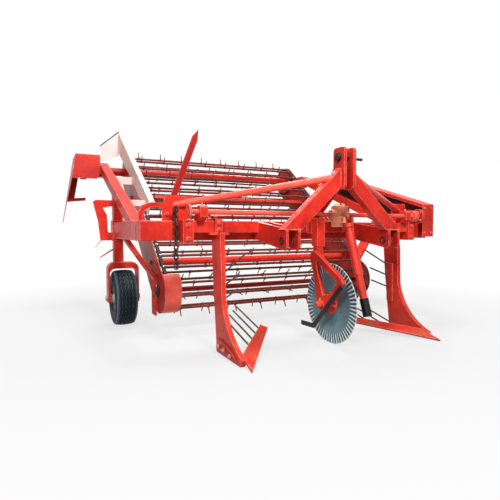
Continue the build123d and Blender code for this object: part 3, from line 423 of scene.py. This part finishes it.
def tyre_finish():
    """Blue-black rubber with pale dust in the grooves and on the sidewall's rings."""
    material, tree, shader, where = start_finish("tyre_rubber")
    centred = put(tree, "ShaderNodeMapping")
    centred.inputs["Location"].default_value = -spot(0, wheel_y, tyre_r)
    tree.links.new(where, centred.inputs["Vector"])
    part = put(tree, "ShaderNodeSeparateXYZ")
    tree.links.new(centred.outputs["Vector"], part.inputs[0])
    reach = sums(
        tree,
        "SQRT",
        sums(
            tree,
            "ADD",
            sums(tree, "POWER", part.outputs["Y"], 2.0),
            sums(tree, "POWER", part.outputs["Z"], 2.0),
        ),
    )
    tone = effect(tree, tone_drift, where, Scale=10.0, Deep=tint(6, 12, 16), Bright=tint(19, 32, 40))
    rib_face, groove_floor = 0.2235, 0.2185
    shoulder_low, shoulder_high = 0.205, 0.212
    groove = spread(tree, reach, rib_face, groove_floor)
    grip = spread(tree, reach, shoulder_low, shoulder_high)
    dusted = sums(tree, "MULTIPLY", sums(tree, "MULTIPLY", groove, grip), 0.7)
    dirt = effect(tree, field_dust, where, Top=0.7, Scale=14.0)
    colour = blended(tree, dusted, tone.outputs["Color"], tint(104, 134, 144))
    colour = blended(tree, sums(tree, "MULTIPLY", dirt.outputs["Mask"], 0.08), colour, tint(110, 102, 94))
    tree.links.new(colour, shader.inputs["Base Color"])
    tree.links.new(spread(tree, tone.outputs["Value"], 0, 1, 0.66, 0.48), shader.inputs["Roughness"])
    shader.inputs["Specular IOR Level"].default_value = 0.15
    coat = effect(tree, skin, where, Waves=90.0, Grain=700.0)
    relief(tree, shader, coat.outputs["Height"], 0.0005)
    return material


digger_red = painted_finish("digger_red", tint(162, 23, 18), tint(228, 56, 39), tint(250, 156, 134), 0.32)
lever_red = painted_finish("lever_red", tint(128, 18, 16), tint(176, 28, 22), tint(214, 96, 80), 0.36)
# A darker copy of the red: painted shade for the elevator plates, shafts and shoe plates.
shaded_plate_red = painted_finish("shaded_plate_red", tint(138, 18, 16), tint(180, 28, 22), tint(214, 90, 74), 0.34, dust_top=1.4)
blade_red = painted_finish(
    "blade_red", tint(172, 26, 18), tint(214, 48, 32), tint(196, 178, 168), 0.34, wear_and_highlight=1.0, dust_top=0.35, dust=0.4
)
# A lighter copy of the red: a painted highlight for the braces, cross shaft and shoe bolts.
painted_highlight_red = painted_finish("painted_highlight_red", tint(204, 66, 52), tint(232, 98, 80), tint(252, 176, 158), 0.32)
# The guards' red, with painted shade darkening their inner and downward faces.
guard_red_shaded_inside = painted_finish(
    "guard_red_shaded_inside", tint(162, 23, 18), tint(228, 56, 39), tint(250, 156, 134), 0.32, dark_part=painted_shade_in_guards
)
# A lighter red as a painted highlight on the nose drums, with painted shade darkening the right drum.
drum_red_lit_and_shaded = painted_finish(
    "drum_red_lit_and_shaded", tint(206, 62, 48), tint(242, 114, 94), tint(250, 170, 150), 0.34,
    dark_part=painted_shade_right_side, dark=tint(20, 16, 18),
)
line_red = painted_finish(
    "line_red", tint(176, 30, 22), tint(220, 58, 42), tint(242, 130, 108), 0.30,
    dark_part=line_end, dark=tint(16, 14, 15),
)
# A much darker copy of the red: painted shade for the bars inside the elevator.
shaded_bar_red = painted_finish(
    "shaded_bar_red", tint(50, 10, 10), tint(116, 23, 19), tint(206, 104, 86), 0.38, wear_and_highlight=0.8, dust_top=2.2, dust=0.3
)
clamp_red = painted_finish(
    "clamp_red", tint(70, 14, 12), tint(140, 32, 24), tint(214, 110, 90), 0.38, wear_and_highlight=0.8, dust_top=2.2, dust=0.3
)
shield_pale = painted_finish(
    "shield_pale", tint(222, 186, 178), tint(240, 216, 210), tint(252, 246, 242), 0.40, wear_and_highlight=0.5, dust=0.15
)
rim_pale = painted_finish(
    "rim_pale", tint(206, 196, 184), tint(236, 230, 222), tint(168, 150, 138), 0.38, wear_and_highlight=0.6, dust_top=0.7, dust=0.4
)
gearbox_salmon = painted_finish(
    "gearbox_salmon", tint(224, 128, 88), tint(248, 180, 136), tint(252, 216, 190), 0.34, wear_and_highlight=0.9
)
satin_black = painted_finish(
    "satin_black", tint(14, 13, 14), tint(34, 32, 34), tint(90, 88, 90), 0.40, wear_and_highlight=0.8, dust_top=0.4, dust=0.3
)
bare_rod = painted_finish(
    "bare_rod", tint(26, 22, 24), tint(54, 46, 46), tint(140, 130, 126), 0.40, wear_and_highlight=0.8, dust_top=0.5, dust=0.4
)
plain_steel = steel_finish("plain_steel", tint(128, 124, 122), tint(190, 188, 186), 0.28, 0.46, 0.5)
plated_bolt = steel_finish("plated_bolt", tint(168, 160, 146), tint(214, 208, 196), 0.26, 0.42, 0.25)
dark_bush = steel_finish("dark_bush", tint(36, 32, 32), tint(74, 66, 64), 0.34, 0.55, 0.5)
strand_black = painted_finish(
    "strand_black", tint(14, 14, 15), tint(34, 33, 34), tint(70, 68, 68), 0.58, wear_and_highlight=0.5, dust_top=1.8, dust=0.2
)
coulter_steel = disc_finish()
tyre_rubber = tyre_finish()

finish_of = {name: digger_red for name in nodes}
finish_of.update(
    {
        "axles": plain_steel,
        "lift_chain": dark_bush,
        "cross_shaft": painted_highlight_red,
        "mast_braces": painted_highlight_red,
        "right_guard": guard_red_shaded_inside,
        "rear_guard": guard_red_shaded_inside,
        "nose_guards": drum_red_lit_and_shaded,
        "driveline": line_red,
        "rattler_bars": shaded_bar_red,
        "head_shaft": shaded_plate_red,
        "coulter_disc": coulter_steel,
        "lifter_rods": bare_rod,
        "vine_rods": bare_rod,
        "elevator_plates": shaded_plate_red,
        "rim_left": rim_pale,
        "rim_right": rim_pale,
        "top_pin": satin_black,
        "scraper": satin_black,
        "nose_shaft": shaded_plate_red,
        "rattler_strands": strand_black,
        "left_shield": shield_pale,
        "gearbox": gearbox_salmon,
        "hand_lever": lever_red,
        "blade_left": blade_red,
        "blade_right": blade_red,
        "tyre_left": tyre_rubber,
        "tyre_right": tyre_rubber,
    }
)
for name, node in nodes.items():
    node.data.materials.clear()
    node.data.materials.append(finish_of[name])


# Modelling steps


def nothing_selected():
    bpy.ops.object.select_all(action="DESELECT")


def only(piece):
    nothing_selected()
    piece.select_set(True)
    bpy.context.view_layer.objects.active = piece


def pick(piece, kind, test):
    """Selects the faces, edges or points that pass a test, in edit mode."""
    bpy.ops.mesh.select_mode(type=kind)
    bpy.ops.mesh.select_all(action="DESELECT")
    shape = bmesh.from_edit_mesh(piece.data)
    for part in {"FACE": shape.faces, "EDGE": shape.edges, "VERT": shape.verts}[kind]:
        if test(part):
            part.select_set(True)
    shape.select_flush_mode()
    bmesh.update_edit_mesh(piece.data)


def closed_up():
    bpy.ops.mesh.select_all(action="SELECT")
    bpy.ops.mesh.remove_doubles(threshold=0.00001)
    bpy.ops.mesh.normals_make_consistent(inside=False)
    bpy.ops.object.mode_set(mode="OBJECT")


def drawn_line(points):
    """A line extruded corner by corner from one point; leaves edit mode open."""
    nothing_selected()
    bpy.ops.mesh.primitive_plane_add(size=0.01, location=points[0])
    piece = bpy.context.object
    bpy.ops.object.mode_set(mode="EDIT")
    bpy.ops.mesh.select_mode(type="VERT")
    bpy.ops.mesh.select_all(action="SELECT")
    bpy.ops.mesh.merge(type="CENTER")
    for here, there in zip(points, points[1:]):
        bpy.ops.mesh.extrude_vertices_move(TRANSFORM_OT_translate={"value": there - here})
    return piece


def turned(points, centre, axis, steps):
    """A section turned full circle about an axle."""
    piece = drawn_line(points)
    bpy.ops.mesh.select_all(action="SELECT")
    bpy.ops.mesh.spin(steps=steps, angle=2 * math.pi, center=centre, axis=axis)
    closed_up()
    return piece


def plate(points, push, corner=0.0):
    """A flat plate from its outline, pushed to its thickness, with broken corners."""
    piece = drawn_line(points)
    bpy.ops.mesh.select_all(action="SELECT")
    bpy.ops.mesh.edge_face_add()
    bpy.ops.mesh.extrude_region_move(TRANSFORM_OT_translate={"value": push})
    closed_up()
    if corner:
        soften(piece, corner)
    return piece


def soften(piece, width, steps=2):
    only(piece)
    edge = piece.modifiers.new("broken_edges", "BEVEL")
    edge.width = width
    edge.segments = steps
    edge.limit_method = "ANGLE"
    edge.angle_limit = math.radians(40)
    bpy.ops.object.modifier_apply(modifier=edge.name)


def copy_of(master, place, axis, size=1.0):
    only(master)
    bpy.ops.object.duplicate(linked=False)
    copy = bpy.context.object
    copy.location = place
    copy.rotation_mode = "QUATERNION"
    copy.rotation_quaternion = axis.to_track_quat("Z", "Y")
    copy.scale = (size, size, size)
    return copy


def settled(pieces, name, body, finish, angle=35.0):
    """Joins the pieces, puts their place in the mesh and sets them on their body."""
    nothing_selected()
    for piece in pieces:
        piece.select_set(True)
    bpy.context.view_layer.objects.active = pieces[0]
    if len(pieces) > 1:
        bpy.ops.object.join()
    whole = bpy.context.object
    bpy.ops.object.transform_apply(location=True, rotation=True, scale=True)
    bpy.ops.object.shade_smooth_by_angle(angle=math.radians(angle))
    whole.name = name
    whole.data.name = name
    whole.data.materials.clear()
    whole.data.materials.append(finish)
    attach(whole, body)
    return whole


# Tyres: five ribs parted by waved grooves, with ringed sidewalls


def tread_reach(across):
    return tyre_r - 0.3 - 7.0 * (across / 68.0) ** 2


def tyre_section():
    half = [(62, 101.9), (68, 104), (72, 112), (79, 121), (84, 133), (87.5, 148), (88.4, 151), (87.8, 154)]
    half += [(88.6, 166), (87.6, 180), (88.0, 183), (86.4, 187), (83, 201), (77.5, 213.5), (72.5, 219.0)]
    tread = [(68, tread_reach(68))]
    for groove in (42, 14, -14, -42):
        tread += [
            (groove + 4.4, tread_reach(groove + 4.4)),
            (groove + 2.6, tread_reach(groove) - 8.5),
            (groove - 2.6, tread_reach(groove) - 8.5),
            (groove - 4.4, tread_reach(groove - 4.4)),
        ]
    tread += [(-68, tread_reach(68))]
    return half + tread + [(-across, reach) for across, reach in reversed(half)] + [half[0]]


def ribbed_tyre(side, name, node, body):
    middle = spot(side * wheel_x, wheel_y, tyre_r)
    points = [middle + Vector((mm(across), 0, mm(reach))) for across, reach in tyre_section()]
    waves, per_wave = 30, 4
    outer_groove, tread_floor = 0.055, 0.2
    piece = turned(points, middle, (1, 0, 0), waves * per_wave)
    only(piece)
    bpy.ops.object.mode_set(mode="EDIT")
    step = 2 * math.pi / (waves * per_wave)
    for phase, shift in ((1, 4.0), (3, -4.0)):

        def in_groove(point):
            place = piece.matrix_world @ point.co - middle
            at = round(math.atan2(place.y, place.z) / step) % per_wave
            return at == phase and abs(place.x) < outer_groove and math.hypot(place.y, place.z) > tread_floor

        pick(piece, "VERT", in_groove)
        bpy.ops.transform.translate(value=(mm(shift), 0, 0))
    bpy.ops.object.mode_set(mode="OBJECT")
    settled([piece], name, body, tyre_rubber, 28.0)
    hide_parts(node)


ribbed_tyre(-1, "left_ribbed_tyre", "tyre_left", "left_wheel")
ribbed_tyre(1, "right_ribbed_tyre", "tyre_right", "right_wheel")


# Bolts: a chamfered hexagon on a round washer, modelled once at 24 mm across the flats


def bolt_master():
    nothing_selected()
    across = 24.0
    bpy.ops.mesh.primitive_cylinder_add(
        vertices=6, radius=mm(across / 2 / math.cos(math.pi / 6)), depth=mm(13), location=(0, 0, mm(9.5))
    )
    head = bpy.context.object
    bpy.ops.object.mode_set(mode="EDIT")
    pick(head, "FACE", lambda face: face.normal.z > 0.9)
    bpy.ops.mesh.inset(thickness=mm(2.4), depth=mm(1.6))
    pick(head, "FACE", lambda face: face.normal.z < -0.9)
    bpy.ops.mesh.delete(type="FACE")
    bpy.ops.object.mode_set(mode="OBJECT")
    nothing_selected()
    bpy.ops.mesh.primitive_cylinder_add(vertices=18, radius=mm(19), depth=mm(4), location=(0, 0, mm(1)))
    washer = bpy.context.object
    bpy.ops.object.mode_set(mode="EDIT")
    pick(washer, "FACE", lambda face: face.normal.z > 0.9)
    bpy.ops.mesh.inset(thickness=mm(1.2), depth=mm(0.8))
    pick(washer, "FACE", lambda face: face.normal.z < -0.9)
    bpy.ops.mesh.delete(type="FACE")
    bpy.ops.object.mode_set(mode="OBJECT")
    nothing_selected()
    washer.select_set(True)
    head.select_set(True)
    bpy.context.view_layer.objects.active = head
    bpy.ops.object.join()
    bpy.ops.object.transform_apply(location=True, rotation=True, scale=True)
    return head


bolt = bolt_master()


def bolted(name, body, finish, places):
    copies = [copy_of(bolt, place, axis, size) for place, axis, size in places]
    return settled(copies, name, body, finish, 30.0)


both = (-1, 1)
clamp_places = []
for side in both:
    for z in (734, 823):
        clamp_places.append((spot(side * (bar_half + 34), -16, z), FRONT, 0.9))
    for y in (38, 150):
        clamp_places.append((spot(side * standard_x, y, bar_top + 14), UP, 0.9))
    for z in (789, 836):
        clamp_places.append((spot(side * standard_x, -18, z), FRONT, 0.8))
bolted("clamp_bolts", "frame", digger_red, clamp_places)

frame_places = []
for side in both:
    out = RIGHT * side
    for y, z in ((1916, 1332), (2015, 1332), (1916, 1434), (2015, 1434)):
        frame_places.append((spot(side * frame_half, y, z), out, 0.8))
    for z in (752, 812):
        frame_places.append((spot(side * post_x, post_y + sleeve_half, z), BACK, 0.9))
    for z in (242, 300, 358):
        frame_places.append((spot(side * hanger_out, 737, z), out, 0.8))
    for along in (320, lift_length / 2 - 84, lift_length - 448):
        y, z = on_lift(along, 0)
        frame_places.append((spot(side * plate_out, y, z), out, 1.0))
    frame_places.append((spot(side * 990, 162, 950), BACK, 0.9))
bolted("frame_bolts", "frame", digger_red, frame_places)

shoe_places = []
for side in both:
    for y, z in ((-62, 52), (-146, 46), (-238, 34)):
        shoe_places.append((spot(side * (shoe_in + shoe_wall), y, z), RIGHT * side, 0.8))
bolted("shoe_bolts", "frame", painted_highlight_red, shoe_places)

drive_places = []
for k in range(4):
    turn = math.radians(90 * k + 45)
    drive_places.append((spot(1000, shaft_y + 44 * math.cos(turn), shaft_z + 44 * math.sin(turn)), LEFT, 0.5))
for y in (96, 124):
    drive_places.append((spot(1000, y, 872), LEFT, 0.6))
for x in (1122, 1204):
    for z in (764, 968):
        drive_places.append((spot(x, 0, z), FRONT, 0.6))
for y, z in ((34, 752), (34, 962), (330, 1064), (640, 1160), (950, 1254), (1240, 1290)):
    drive_places.append((spot(frame_half, y, z), RIGHT, 0.6))
bolted("guard_bolts", "frame", digger_red, drive_places)

gear_places = []
for k in range(6):
    turn = math.radians(60 * k + 30)
    gear_places.append((spot(joint_x + 24 * math.cos(turn), -114, joint_z + 24 * math.sin(turn)), FRONT, 0.3))
    for x, out in ((gearbox_x - 66, LEFT), (gearbox_x + 66, RIGHT)):
        gear_places.append((spot(x, shaft_y + 27 * math.cos(turn), shaft_z + 27 * math.sin(turn)), out, 0.36))
for x in (gearbox_x - 58, gearbox_x + 58):
    for y in (-12, 50):
        gear_places.append((spot(x, y, bar_top + 16), UP, 0.6))
gear_places.append((spot(gearbox_x + 24, -62, gearbox_top), UP, 0.9))
bolted("gearbox_bolts", "frame", plated_bolt, gear_places)

for side, name, body in ((-1, "left_wheel_nuts", "left_wheel"), (1, "right_wheel_nuts", "right_wheel")):
    nut_places = []
    for k in range(5):
        turn = math.radians(72 * k + 20)
        place = spot(side * (wheel_x + 23), wheel_y + 66 * math.cos(turn), tyre_r + 66 * math.sin(turn))
        nut_places.append((place, RIGHT * side, 0.62))
    bolted(name, body, plated_bolt, nut_places)

hub_places = []
for k in range(6):
    turn = math.radians(60 * k + 10)
    y, z = disc_y + 62 * math.cos(turn), disc_z + 62 * math.sin(turn)
    hub_places.append((spot(disc_x - 13, y, z), LEFT, 0.6))
    hub_places.append((spot(disc_x + 13, y, z), RIGHT, 0.6))
bolted("coulter_hub_bolts", "coulter", digger_red, hub_places)


def around_loop(travel, off):
    """A place on the strands' loop, off from its middle line, and the way out from it there."""
    arc = math.pi * loop_r
    reach = loop_r + off
    if travel < lift_length:
        turn = lift_angle
        y, z = on_lift(travel, reach)
    elif travel < lift_length + arc:
        turn = lift_angle - (travel - lift_length) / loop_r
        y, z = head_y - reach * math.sin(turn), head_z + reach * math.cos(turn)
    elif travel < 2 * lift_length + arc:
        turn = lift_angle - math.pi
        y, z = on_lift(2 * lift_length + arc - travel, -reach)
    else:
        turn = lift_angle - math.pi - (travel - 2 * lift_length - arc) / loop_r
        y, z = nose_y - reach * math.sin(turn), nose_z + reach * math.cos(turn)
    return y, z, Vector((0, -math.sin(turn), math.cos(turn)))


loop_length = 2 * lift_length + 2 * math.pi * loop_r
strand_places = []
for k in range(bar_count):
    y, z, out = around_loop((k + bar_phase) * loop_length / bar_count, 9)
    for side in both:
        strand_places.append((spot(side * strand_mid, y, z), out, 0.36))
bolted("strand_bolts", "frame", plated_bolt, strand_places)

pivot_places = [
    (spot(-74, disc_y, disc_z), LEFT, 1.2),
    (spot(52, disc_y, disc_z), RIGHT, 1.2),
    (spot(-1040, 150, 892), FRONT, 0.9),
    (spot(-1040, 174, 892), BACK, 0.9),
]
bolted("pivot_bolts", "frame", digger_red, pivot_places)

bpy.data.objects.remove(bolt)


# Tine clamps: a saddle round the bar at each tine's root, modelled once


def saddle_master():
    outline = [(-9, -11.5), (9, -11.5), (12.5, 0), (10.5, 10), (6.5, 17), (-6.5, 17), (-10.5, 10), (-12.5, 0)]
    points = [Vector((-mm(9), mm(across), mm(height))) for across, height in outline]
    saddle = plate(points, RIGHT * mm(18), mm(1.5))
    only(saddle)
    bpy.ops.object.transform_apply(location=True, rotation=True, scale=True)
    return saddle


saddle = saddle_master()
saddles = []
for k in range(bar_count):
    y, z, out = around_loop((k + bar_phase) * loop_length / bar_count, 0)
    for j in range(tine_count):
        x = tine_shift + (j - (tine_count - 1) / 2) * tine_pitch
        piece = copy_of(saddle, spot(x, y, z), UP)
        piece.rotation_quaternion = Matrix((RIGHT, out.cross(RIGHT), out)).transposed().to_quaternion()
        saddles.append(piece)
settled(saddles, "tine_clamps", "frame", clamp_red, 35.0)
bpy.data.objects.remove(saddle)


# Turned fittings, and the flat shoe plates and hem that some of them hold


def turned_at(profile, place, axis, steps):
    """A closed section of radii and heights turned about an axis that stands at a place."""
    out = axis.orthogonal().normalized()
    points = [place + out * mm(radius) + axis * mm(height) for radius, height in profile]
    return turned(points, place, axis, steps)


def fittings(name, body, finish, profile, steps, places):
    pieces = [turned_at(profile, place, axis, steps) for place, axis in places]
    return settled(pieces, name, body, finish, 30.0)


bush = ((15.0, -1), (26, -1), (26, 2.5), (24.5, 3.6), (16.4, 3.6), (15.0, 2.4), (15.0, -1))
bush_places = []
for side in both:
    out = RIGHT * side
    bush_places.append((spot(side * (hitch_half + ear_faces[1]), hitch_y, hitch_z), out))
    bush_places.append((spot(side * (hitch_half - ear_faces[1]), hitch_y, hitch_z), -out))
    bush_places.append((spot(side * lug_out, top_pin_y, top_pin_z), out))
fittings("pin_bushes", "frame", dark_bush, bush, 28, bush_places)

flange = (
    (20.4, -1), (48, -1), (48, 9), (46, 10.5), (34, 11),
    (32, 20), (30, 21.5), (21.5, 21.5), (20.4, 20), (20.4, -1),
)
fittings(
    "nose_bearings", "frame", satin_black, flange, 32,
    [(spot(side * plate_out, nose_y, nose_z), RIGHT * side) for side in both],
)

nipple = ((0, -2), (4.2, -2), (4.2, 5), (5.6, 6), (5.6, 9), (2.8, 11), (3.6, 14), (2.2, 16), (0, 16.4))
nipple_places = [(spot(-60, disc_y, disc_z + 26), UP)]
for side in both:
    nipple_places.append((spot(side * 1190, head_y, head_z + 71), UP))
    nipple_places.append((spot(side * 865, shaft_y, shaft_z + 40), UP))
    nipple_places.append((spot(side * (plate_out + 15), nose_y, nose_z + 32), UP))
fittings("grease_nipples", "frame", plated_bolt, nipple, 10, nipple_places)

lock_ring = ((12.9, -5), (22, -5), (23, -4), (23, 4), (22, 5), (12.9, 5), (12.9, -5))
lock_pin = ((0, -38), (3, -37), (4, -33), (4, 24), (8, 25), (9, 28), (8, 31), (4, 33), (0, 33))
locks = [
    turned_at(lock_ring, spot(-60, top_pin_y, top_pin_z), LEFT, 28),
    turned_at(lock_pin, spot(-60, top_pin_y, top_pin_z), UP, 14),
]
settled(locks, "top_pin_lock", "frame", dark_bush, 30.0)

rivet = ((0, -2), (6.5, -2), (6.5, 1), (5.6, 2.6), (3.4, 3.8), (0, 4.2))
shield_low, shield_high = on_lift(466, 471), on_lift(lift_length + 394, 252)
rivet_places = []
for k in range(12):
    part = (k + 0.5) / 12
    y = shield_low[0] + (shield_high[0] - shield_low[0]) * part
    z = shield_low[1] + (shield_high[1] - shield_low[1]) * part
    rivet_places.append((spot(-1010, y + 5, z - 17), LEFT))
    rivet_places.append((spot(-986, y, z), Vector((0, -0.45, 0.9)).normalized()))
fittings("shield_rivets", "frame", shield_pale, rivet, 12, rivet_places)

shoe_outline = [(-26, 12), (-22, 96), (-96, 104), (-200, 80), (-296, 44), (-330, 12)]
shoes = []
for side in both:
    points = [spot(side * shoe_in, y, z) for y, z in shoe_outline]
    shoes.append(plate(points, RIGHT * side * mm(shoe_wall), mm(3)))
settled(shoes, "shoe_plates", "frame", shaded_plate_red, 35.0)

hem_outline = [(-1194, 270), (-1006, 432), (-1006, 444), (-1198, 279)]
hem = plate([spot(x, head_y + 127, head_z + rise) for x, rise in hem_outline], BACK * mm(12), mm(2.5))
settled([hem], "shield_hem", "frame", satin_black, 35.0)

guard_front = head_y - 129
guard_top = head_z + 138
wing_rivets = []
for x in (-1262, -1345, -1428):
    wing_rivets.append((spot(x, guard_front, guard_top - 18), FRONT))
for k in range(4):
    rivet_y = guard_front + 46 + 92 * k
    wing_rivets.append((spot(-1453, rivet_y, guard_top - 18), Vector((-1, 0, 0.167)).normalized()))
    wing_rivets.append((spot(-1430, rivet_y, guard_top), UP))
fittings("guard_rivets", "frame", digger_red, rivet, 12, wing_rivets)

collar = ((14.6, -1), (34, -1), (34, 5), (32, 7), (16, 7), (14.6, 5.6), (14.6, -1))
for side, name, body in ((-1, "left_hub_collars", "left_wheel"), (1, "right_hub_collars", "right_wheel")):
    places = [(spot(side * wheel_x + way * 88, wheel_y, tyre_r), RIGHT * way) for way in both]
    fittings(name, body, plain_steel, collar, 24, places)


# Weld beads: one ripple is shaped and repeated along each seam


def ripple_master():
    nothing_selected()
    bpy.ops.mesh.primitive_uv_sphere_add(segments=8, ring_count=6, radius=mm(6))
    ripple = bpy.context.object
    bpy.ops.object.mode_set(mode="EDIT")
    bpy.ops.mesh.select_all(action="SELECT")
    bpy.ops.mesh.bisect(plane_co=(0, 0, -mm(2)), plane_no=(0, 0, 1), use_fill=True, clear_inner=True)
    bpy.ops.mesh.select_all(action="SELECT")
    bpy.ops.transform.resize(value=(0.66, 1.0, 0.62), center_override=(0, 0, 0))
    bpy.ops.object.mode_set(mode="OBJECT")
    return ripple


ripple = ripple_master()
bead_pitch = mm(5)


def bead(start, end, up):
    run = (end - start).normalized()
    rise = (up - run * up.dot(run)).normalized()
    piece = copy_of(ripple, start, UP)
    piece.rotation_quaternion = Matrix((run, rise.cross(run), rise)).transposed().to_quaternion()
    row = piece.modifiers.new("row", "ARRAY")
    row.count = max(2, int((end - start).length / bead_pitch))
    row.use_relative_offset = False
    row.use_constant_offset = True
    row.constant_offset_displace = (bead_pitch, 0, 0)
    only(piece)
    bpy.ops.object.modifier_apply(modifier=row.name)
    return piece


def seam(first, last, up):
    return bead(spot(*first), spot(*last), Vector(up))


seams = []
for side in both:
    for way, gap in ((-1, 35), (1, 51), (1, -35), (-1, -51)):
        x = side * (hitch_half + gap)
        seams.append(seam((x, 0, 776), (x, 0, 838), (side * way, -1, 0)))
    seams.append(seam((side * lug_out, -354, 1064), (side * lug_out, -354, 1176), (side, -1, 0)))
    seams.append(seam((side * 49, -350, 1180), (side * 49, -298, 1180), (side, 0, 1)))
    seams.append(seam((side * 350, -354, 790), (side * 468, -354, 790), (0, -1, -0.4)))
    seams.append(seam((side * 1158, beam_rear, bar_top), (side * 1222, beam_rear, bar_top), (0, 0, 1)))
    seams.append(seam((side * frame_half, beam_rear, 730), (side * frame_half, beam_rear, 840), (side, 0, 0)))
    seams.append(seam((side * 1156, 330, bar_top), (side * 1224, 330, bar_top), (0, -0.7, 0.7)))
    seams.append(seam((side * frame_half, 340, bar_top), (side * frame_half, 552, bar_top), (side, 0, 0)))
    seams.append(seam((side * arm_in, 340, bar_top), (side * arm_in, 552, bar_top), (-side, 0, 0)))
    seams.append(seam((side * frame_half, 1900, 1368), (side * frame_half, 1900, 1444), (side, 0, 0)))
    seams.append(seam((side * arm_in, 1900, 1368), (side * arm_in, 1900, 1444), (-side, 0, 0)))
    seams.append(seam((side * 1156, 1082, crown_top), (side * 1220, 1082, crown_top), (0, -0.7, 0.7)))
    seams.append(seam((side * arm_in, 1086, crown_top), (side * arm_in, 1136, crown_top), (-side, 0, 1)))
    seams.append(seam((side * frame_half, 1072, 728), (side * frame_half, 1072, 838), (side, -0.6, 0)))
    seams.append(seam((side * arm_in, 1072, 728), (side * arm_in, 1072, 838), (-side, -0.6, 0)))
    seams.append(seam((side * 910, 150, bar_top), (side * 1066, 150, bar_top), (0, -0.7, 0.7)))
    seams.append(seam((side * 910, 162, bar_top), (side * 1066, 162, bar_top), (0, 0.7, 0.7)))
    seams.append(seam((side * 65, 0, 776), (side * 65, 0, 842), (side, -1, 0)))
    seams.append(seam((side * 33, -15, 768), (side * 33, -15, 850), (side, -1, 0)))
settled(seams, "weld_beads", "frame", digger_red, 40.0)
bpy.data.objects.remove(ripple)


# Gearbox trim: the cap on top, the parting flange round the case and the ribs under the input


def gearbox_trim():
    cap_section = ((0, -2), (33, -2), (33, 4), (30, 7), (22, 8), (20, 17), (17, 20), (0, 21))
    cap = turned_at(cap_section, spot(gearbox_x - 20, -46, gearbox_top), UP, 24)
    west, east, front, back = gearbox_x - 54, gearbox_x + 54, -104, 0
    corners = [
        (west + 18, front), (east - 18, front), (east, front + 18), (east, back - 18),
        (east - 18, back), (west + 18, back), (west, back - 18), (west, front + 18),
    ]
    ring = plate([spot(x, y, 906) for x, y in corners], UP * mm(12), mm(2))
    ribs = []
    for x in (gearbox_x - 22, gearbox_x + 16, gearbox_x + 36):
        side = [(-98, 812), (-98, 900), (-106, 898), (-106, 828)]
        ribs.append(plate([spot(x, y, z) for y, z in side], RIGHT * mm(8), mm(1.5)))
    settled([ring, cap] + ribs, "gearbox_trim", "frame", gearbox_salmon, 35.0)


gearbox_trim()


# Camera, floor and plain studio light


def look_from_photo_side():
    camera = bpy.data.cameras.new("view")
    camera.sensor_width = 36.0
    camera.lens = 30.15
    camera.clip_end = 200.0
    stand = bpy.data.objects.new("view", camera)
    stand.location = spot(-1771, -2495, 789)
    stand.rotation_euler = (math.radians(87.25), 0, math.radians(-26.65))
    bpy.context.scene.collection.objects.link(stand)
    bpy.context.scene.camera = stand


def lamp(name, place, target, width, power):
    data = bpy.data.lights.new(name, "AREA")
    data.shape = "DISK"
    data.size = width
    data.energy = power
    stand = bpy.data.objects.new(name, data)
    stand.location = place
    stand.rotation_euler = (Vector(target) - Vector(place)).to_track_quat("-Z", "Y").to_euler()
    bpy.context.scene.collection.objects.link(stand)


def seen_rays(tree, path):
    """The rays that see the white surround: the camera's own, and those that metal and glass send on."""
    mirrored = sums(tree, "MAXIMUM", path.outputs["Is Glossy Ray"], path.outputs["Is Transmission Ray"])
    return sums(tree, "MAXIMUM", path.outputs["Is Camera Ray"], mirrored)


def pale_floor():
    nothing_selected()
    bpy.ops.mesh.primitive_plane_add(size=60, location=(0, 0, 0))
    floor = bpy.context.object
    floor.name = "floor"
    material = bpy.data.materials.new("pale_floor")
    material.use_nodes = True
    tree = material.node_tree
    shader = tree.nodes["Principled BSDF"]
    shader.inputs["Base Color"].default_value = (0.4, 0.4, 0.4, 1)
    shader.inputs["Roughness"].default_value = 0.9
    glow = put(tree, "ShaderNodeEmission")
    glow.inputs["Strength"].default_value = 1.0
    path = put(tree, "ShaderNodeLightPath")
    mix = put(tree, "ShaderNodeMixShader")
    where = put(tree, "ShaderNodeTexCoord")
    away = put(tree, "ShaderNodeVectorMath", operation="LENGTH")
    tree.links.new(where.outputs["Object"], away.inputs[0])
    near, far, least = 1.6, 3.6, 0.72
    white_out = spread(tree, away.outputs["Value"], near, far, least, 1.0)
    tree.links.new(sums(tree, "MULTIPLY", seen_rays(tree, path), white_out), mix.inputs["Fac"])
    tree.links.new(shader.outputs["BSDF"], mix.inputs[1])
    tree.links.new(glow.outputs["Emission"], mix.inputs[2])
    tree.links.new(mix.outputs["Shader"], tree.nodes["Material Output"].inputs["Surface"])
    floor.data.materials.append(material)


def white_surround():
    world = bpy.data.worlds.new("surround")
    world.use_nodes = True
    bpy.context.scene.world = world
    tree = world.node_tree
    dim = tree.nodes["Background"]
    dim.inputs["Color"].default_value = (1, 1, 1, 1)
    dim.inputs["Strength"].default_value = 0.04
    white = put(tree, "ShaderNodeBackground")
    white.inputs["Color"].default_value = (1, 1, 1, 1)
    white.inputs["Strength"].default_value = 1.0
    path = put(tree, "ShaderNodeLightPath")
    mix = put(tree, "ShaderNodeMixShader")
    tree.links.new(seen_rays(tree, path), mix.inputs["Fac"])
    tree.links.new(dim.outputs["Background"], mix.inputs[1])
    tree.links.new(white.outputs["Background"], mix.inputs[2])
    tree.links.new(mix.outputs["Shader"], tree.nodes["World Output"].inputs["Surface"])


look_from_photo_side()
pale_floor()
white_surround()
lamp("front_lamp", (-0.6, -5.2, 4.6), (0.1, 0.0, 0.6), 1.2, 375)
lamp("side_lamp", (-4.4, -3.4, 3.4), (-0.2, 0.0, 0.7), 1.4, 150)
lamp("top_lamp", (-0.2, 0.2, 5.4), (0.1, 0.0, 0.6), 1.8, 245)
lamp("back_lamp", (2.6, 5.0, 3.6), (0.1, 0.0, 0.7), 1.8, 170)
bpy.context.scene.view_settings.view_transform = "Standard"
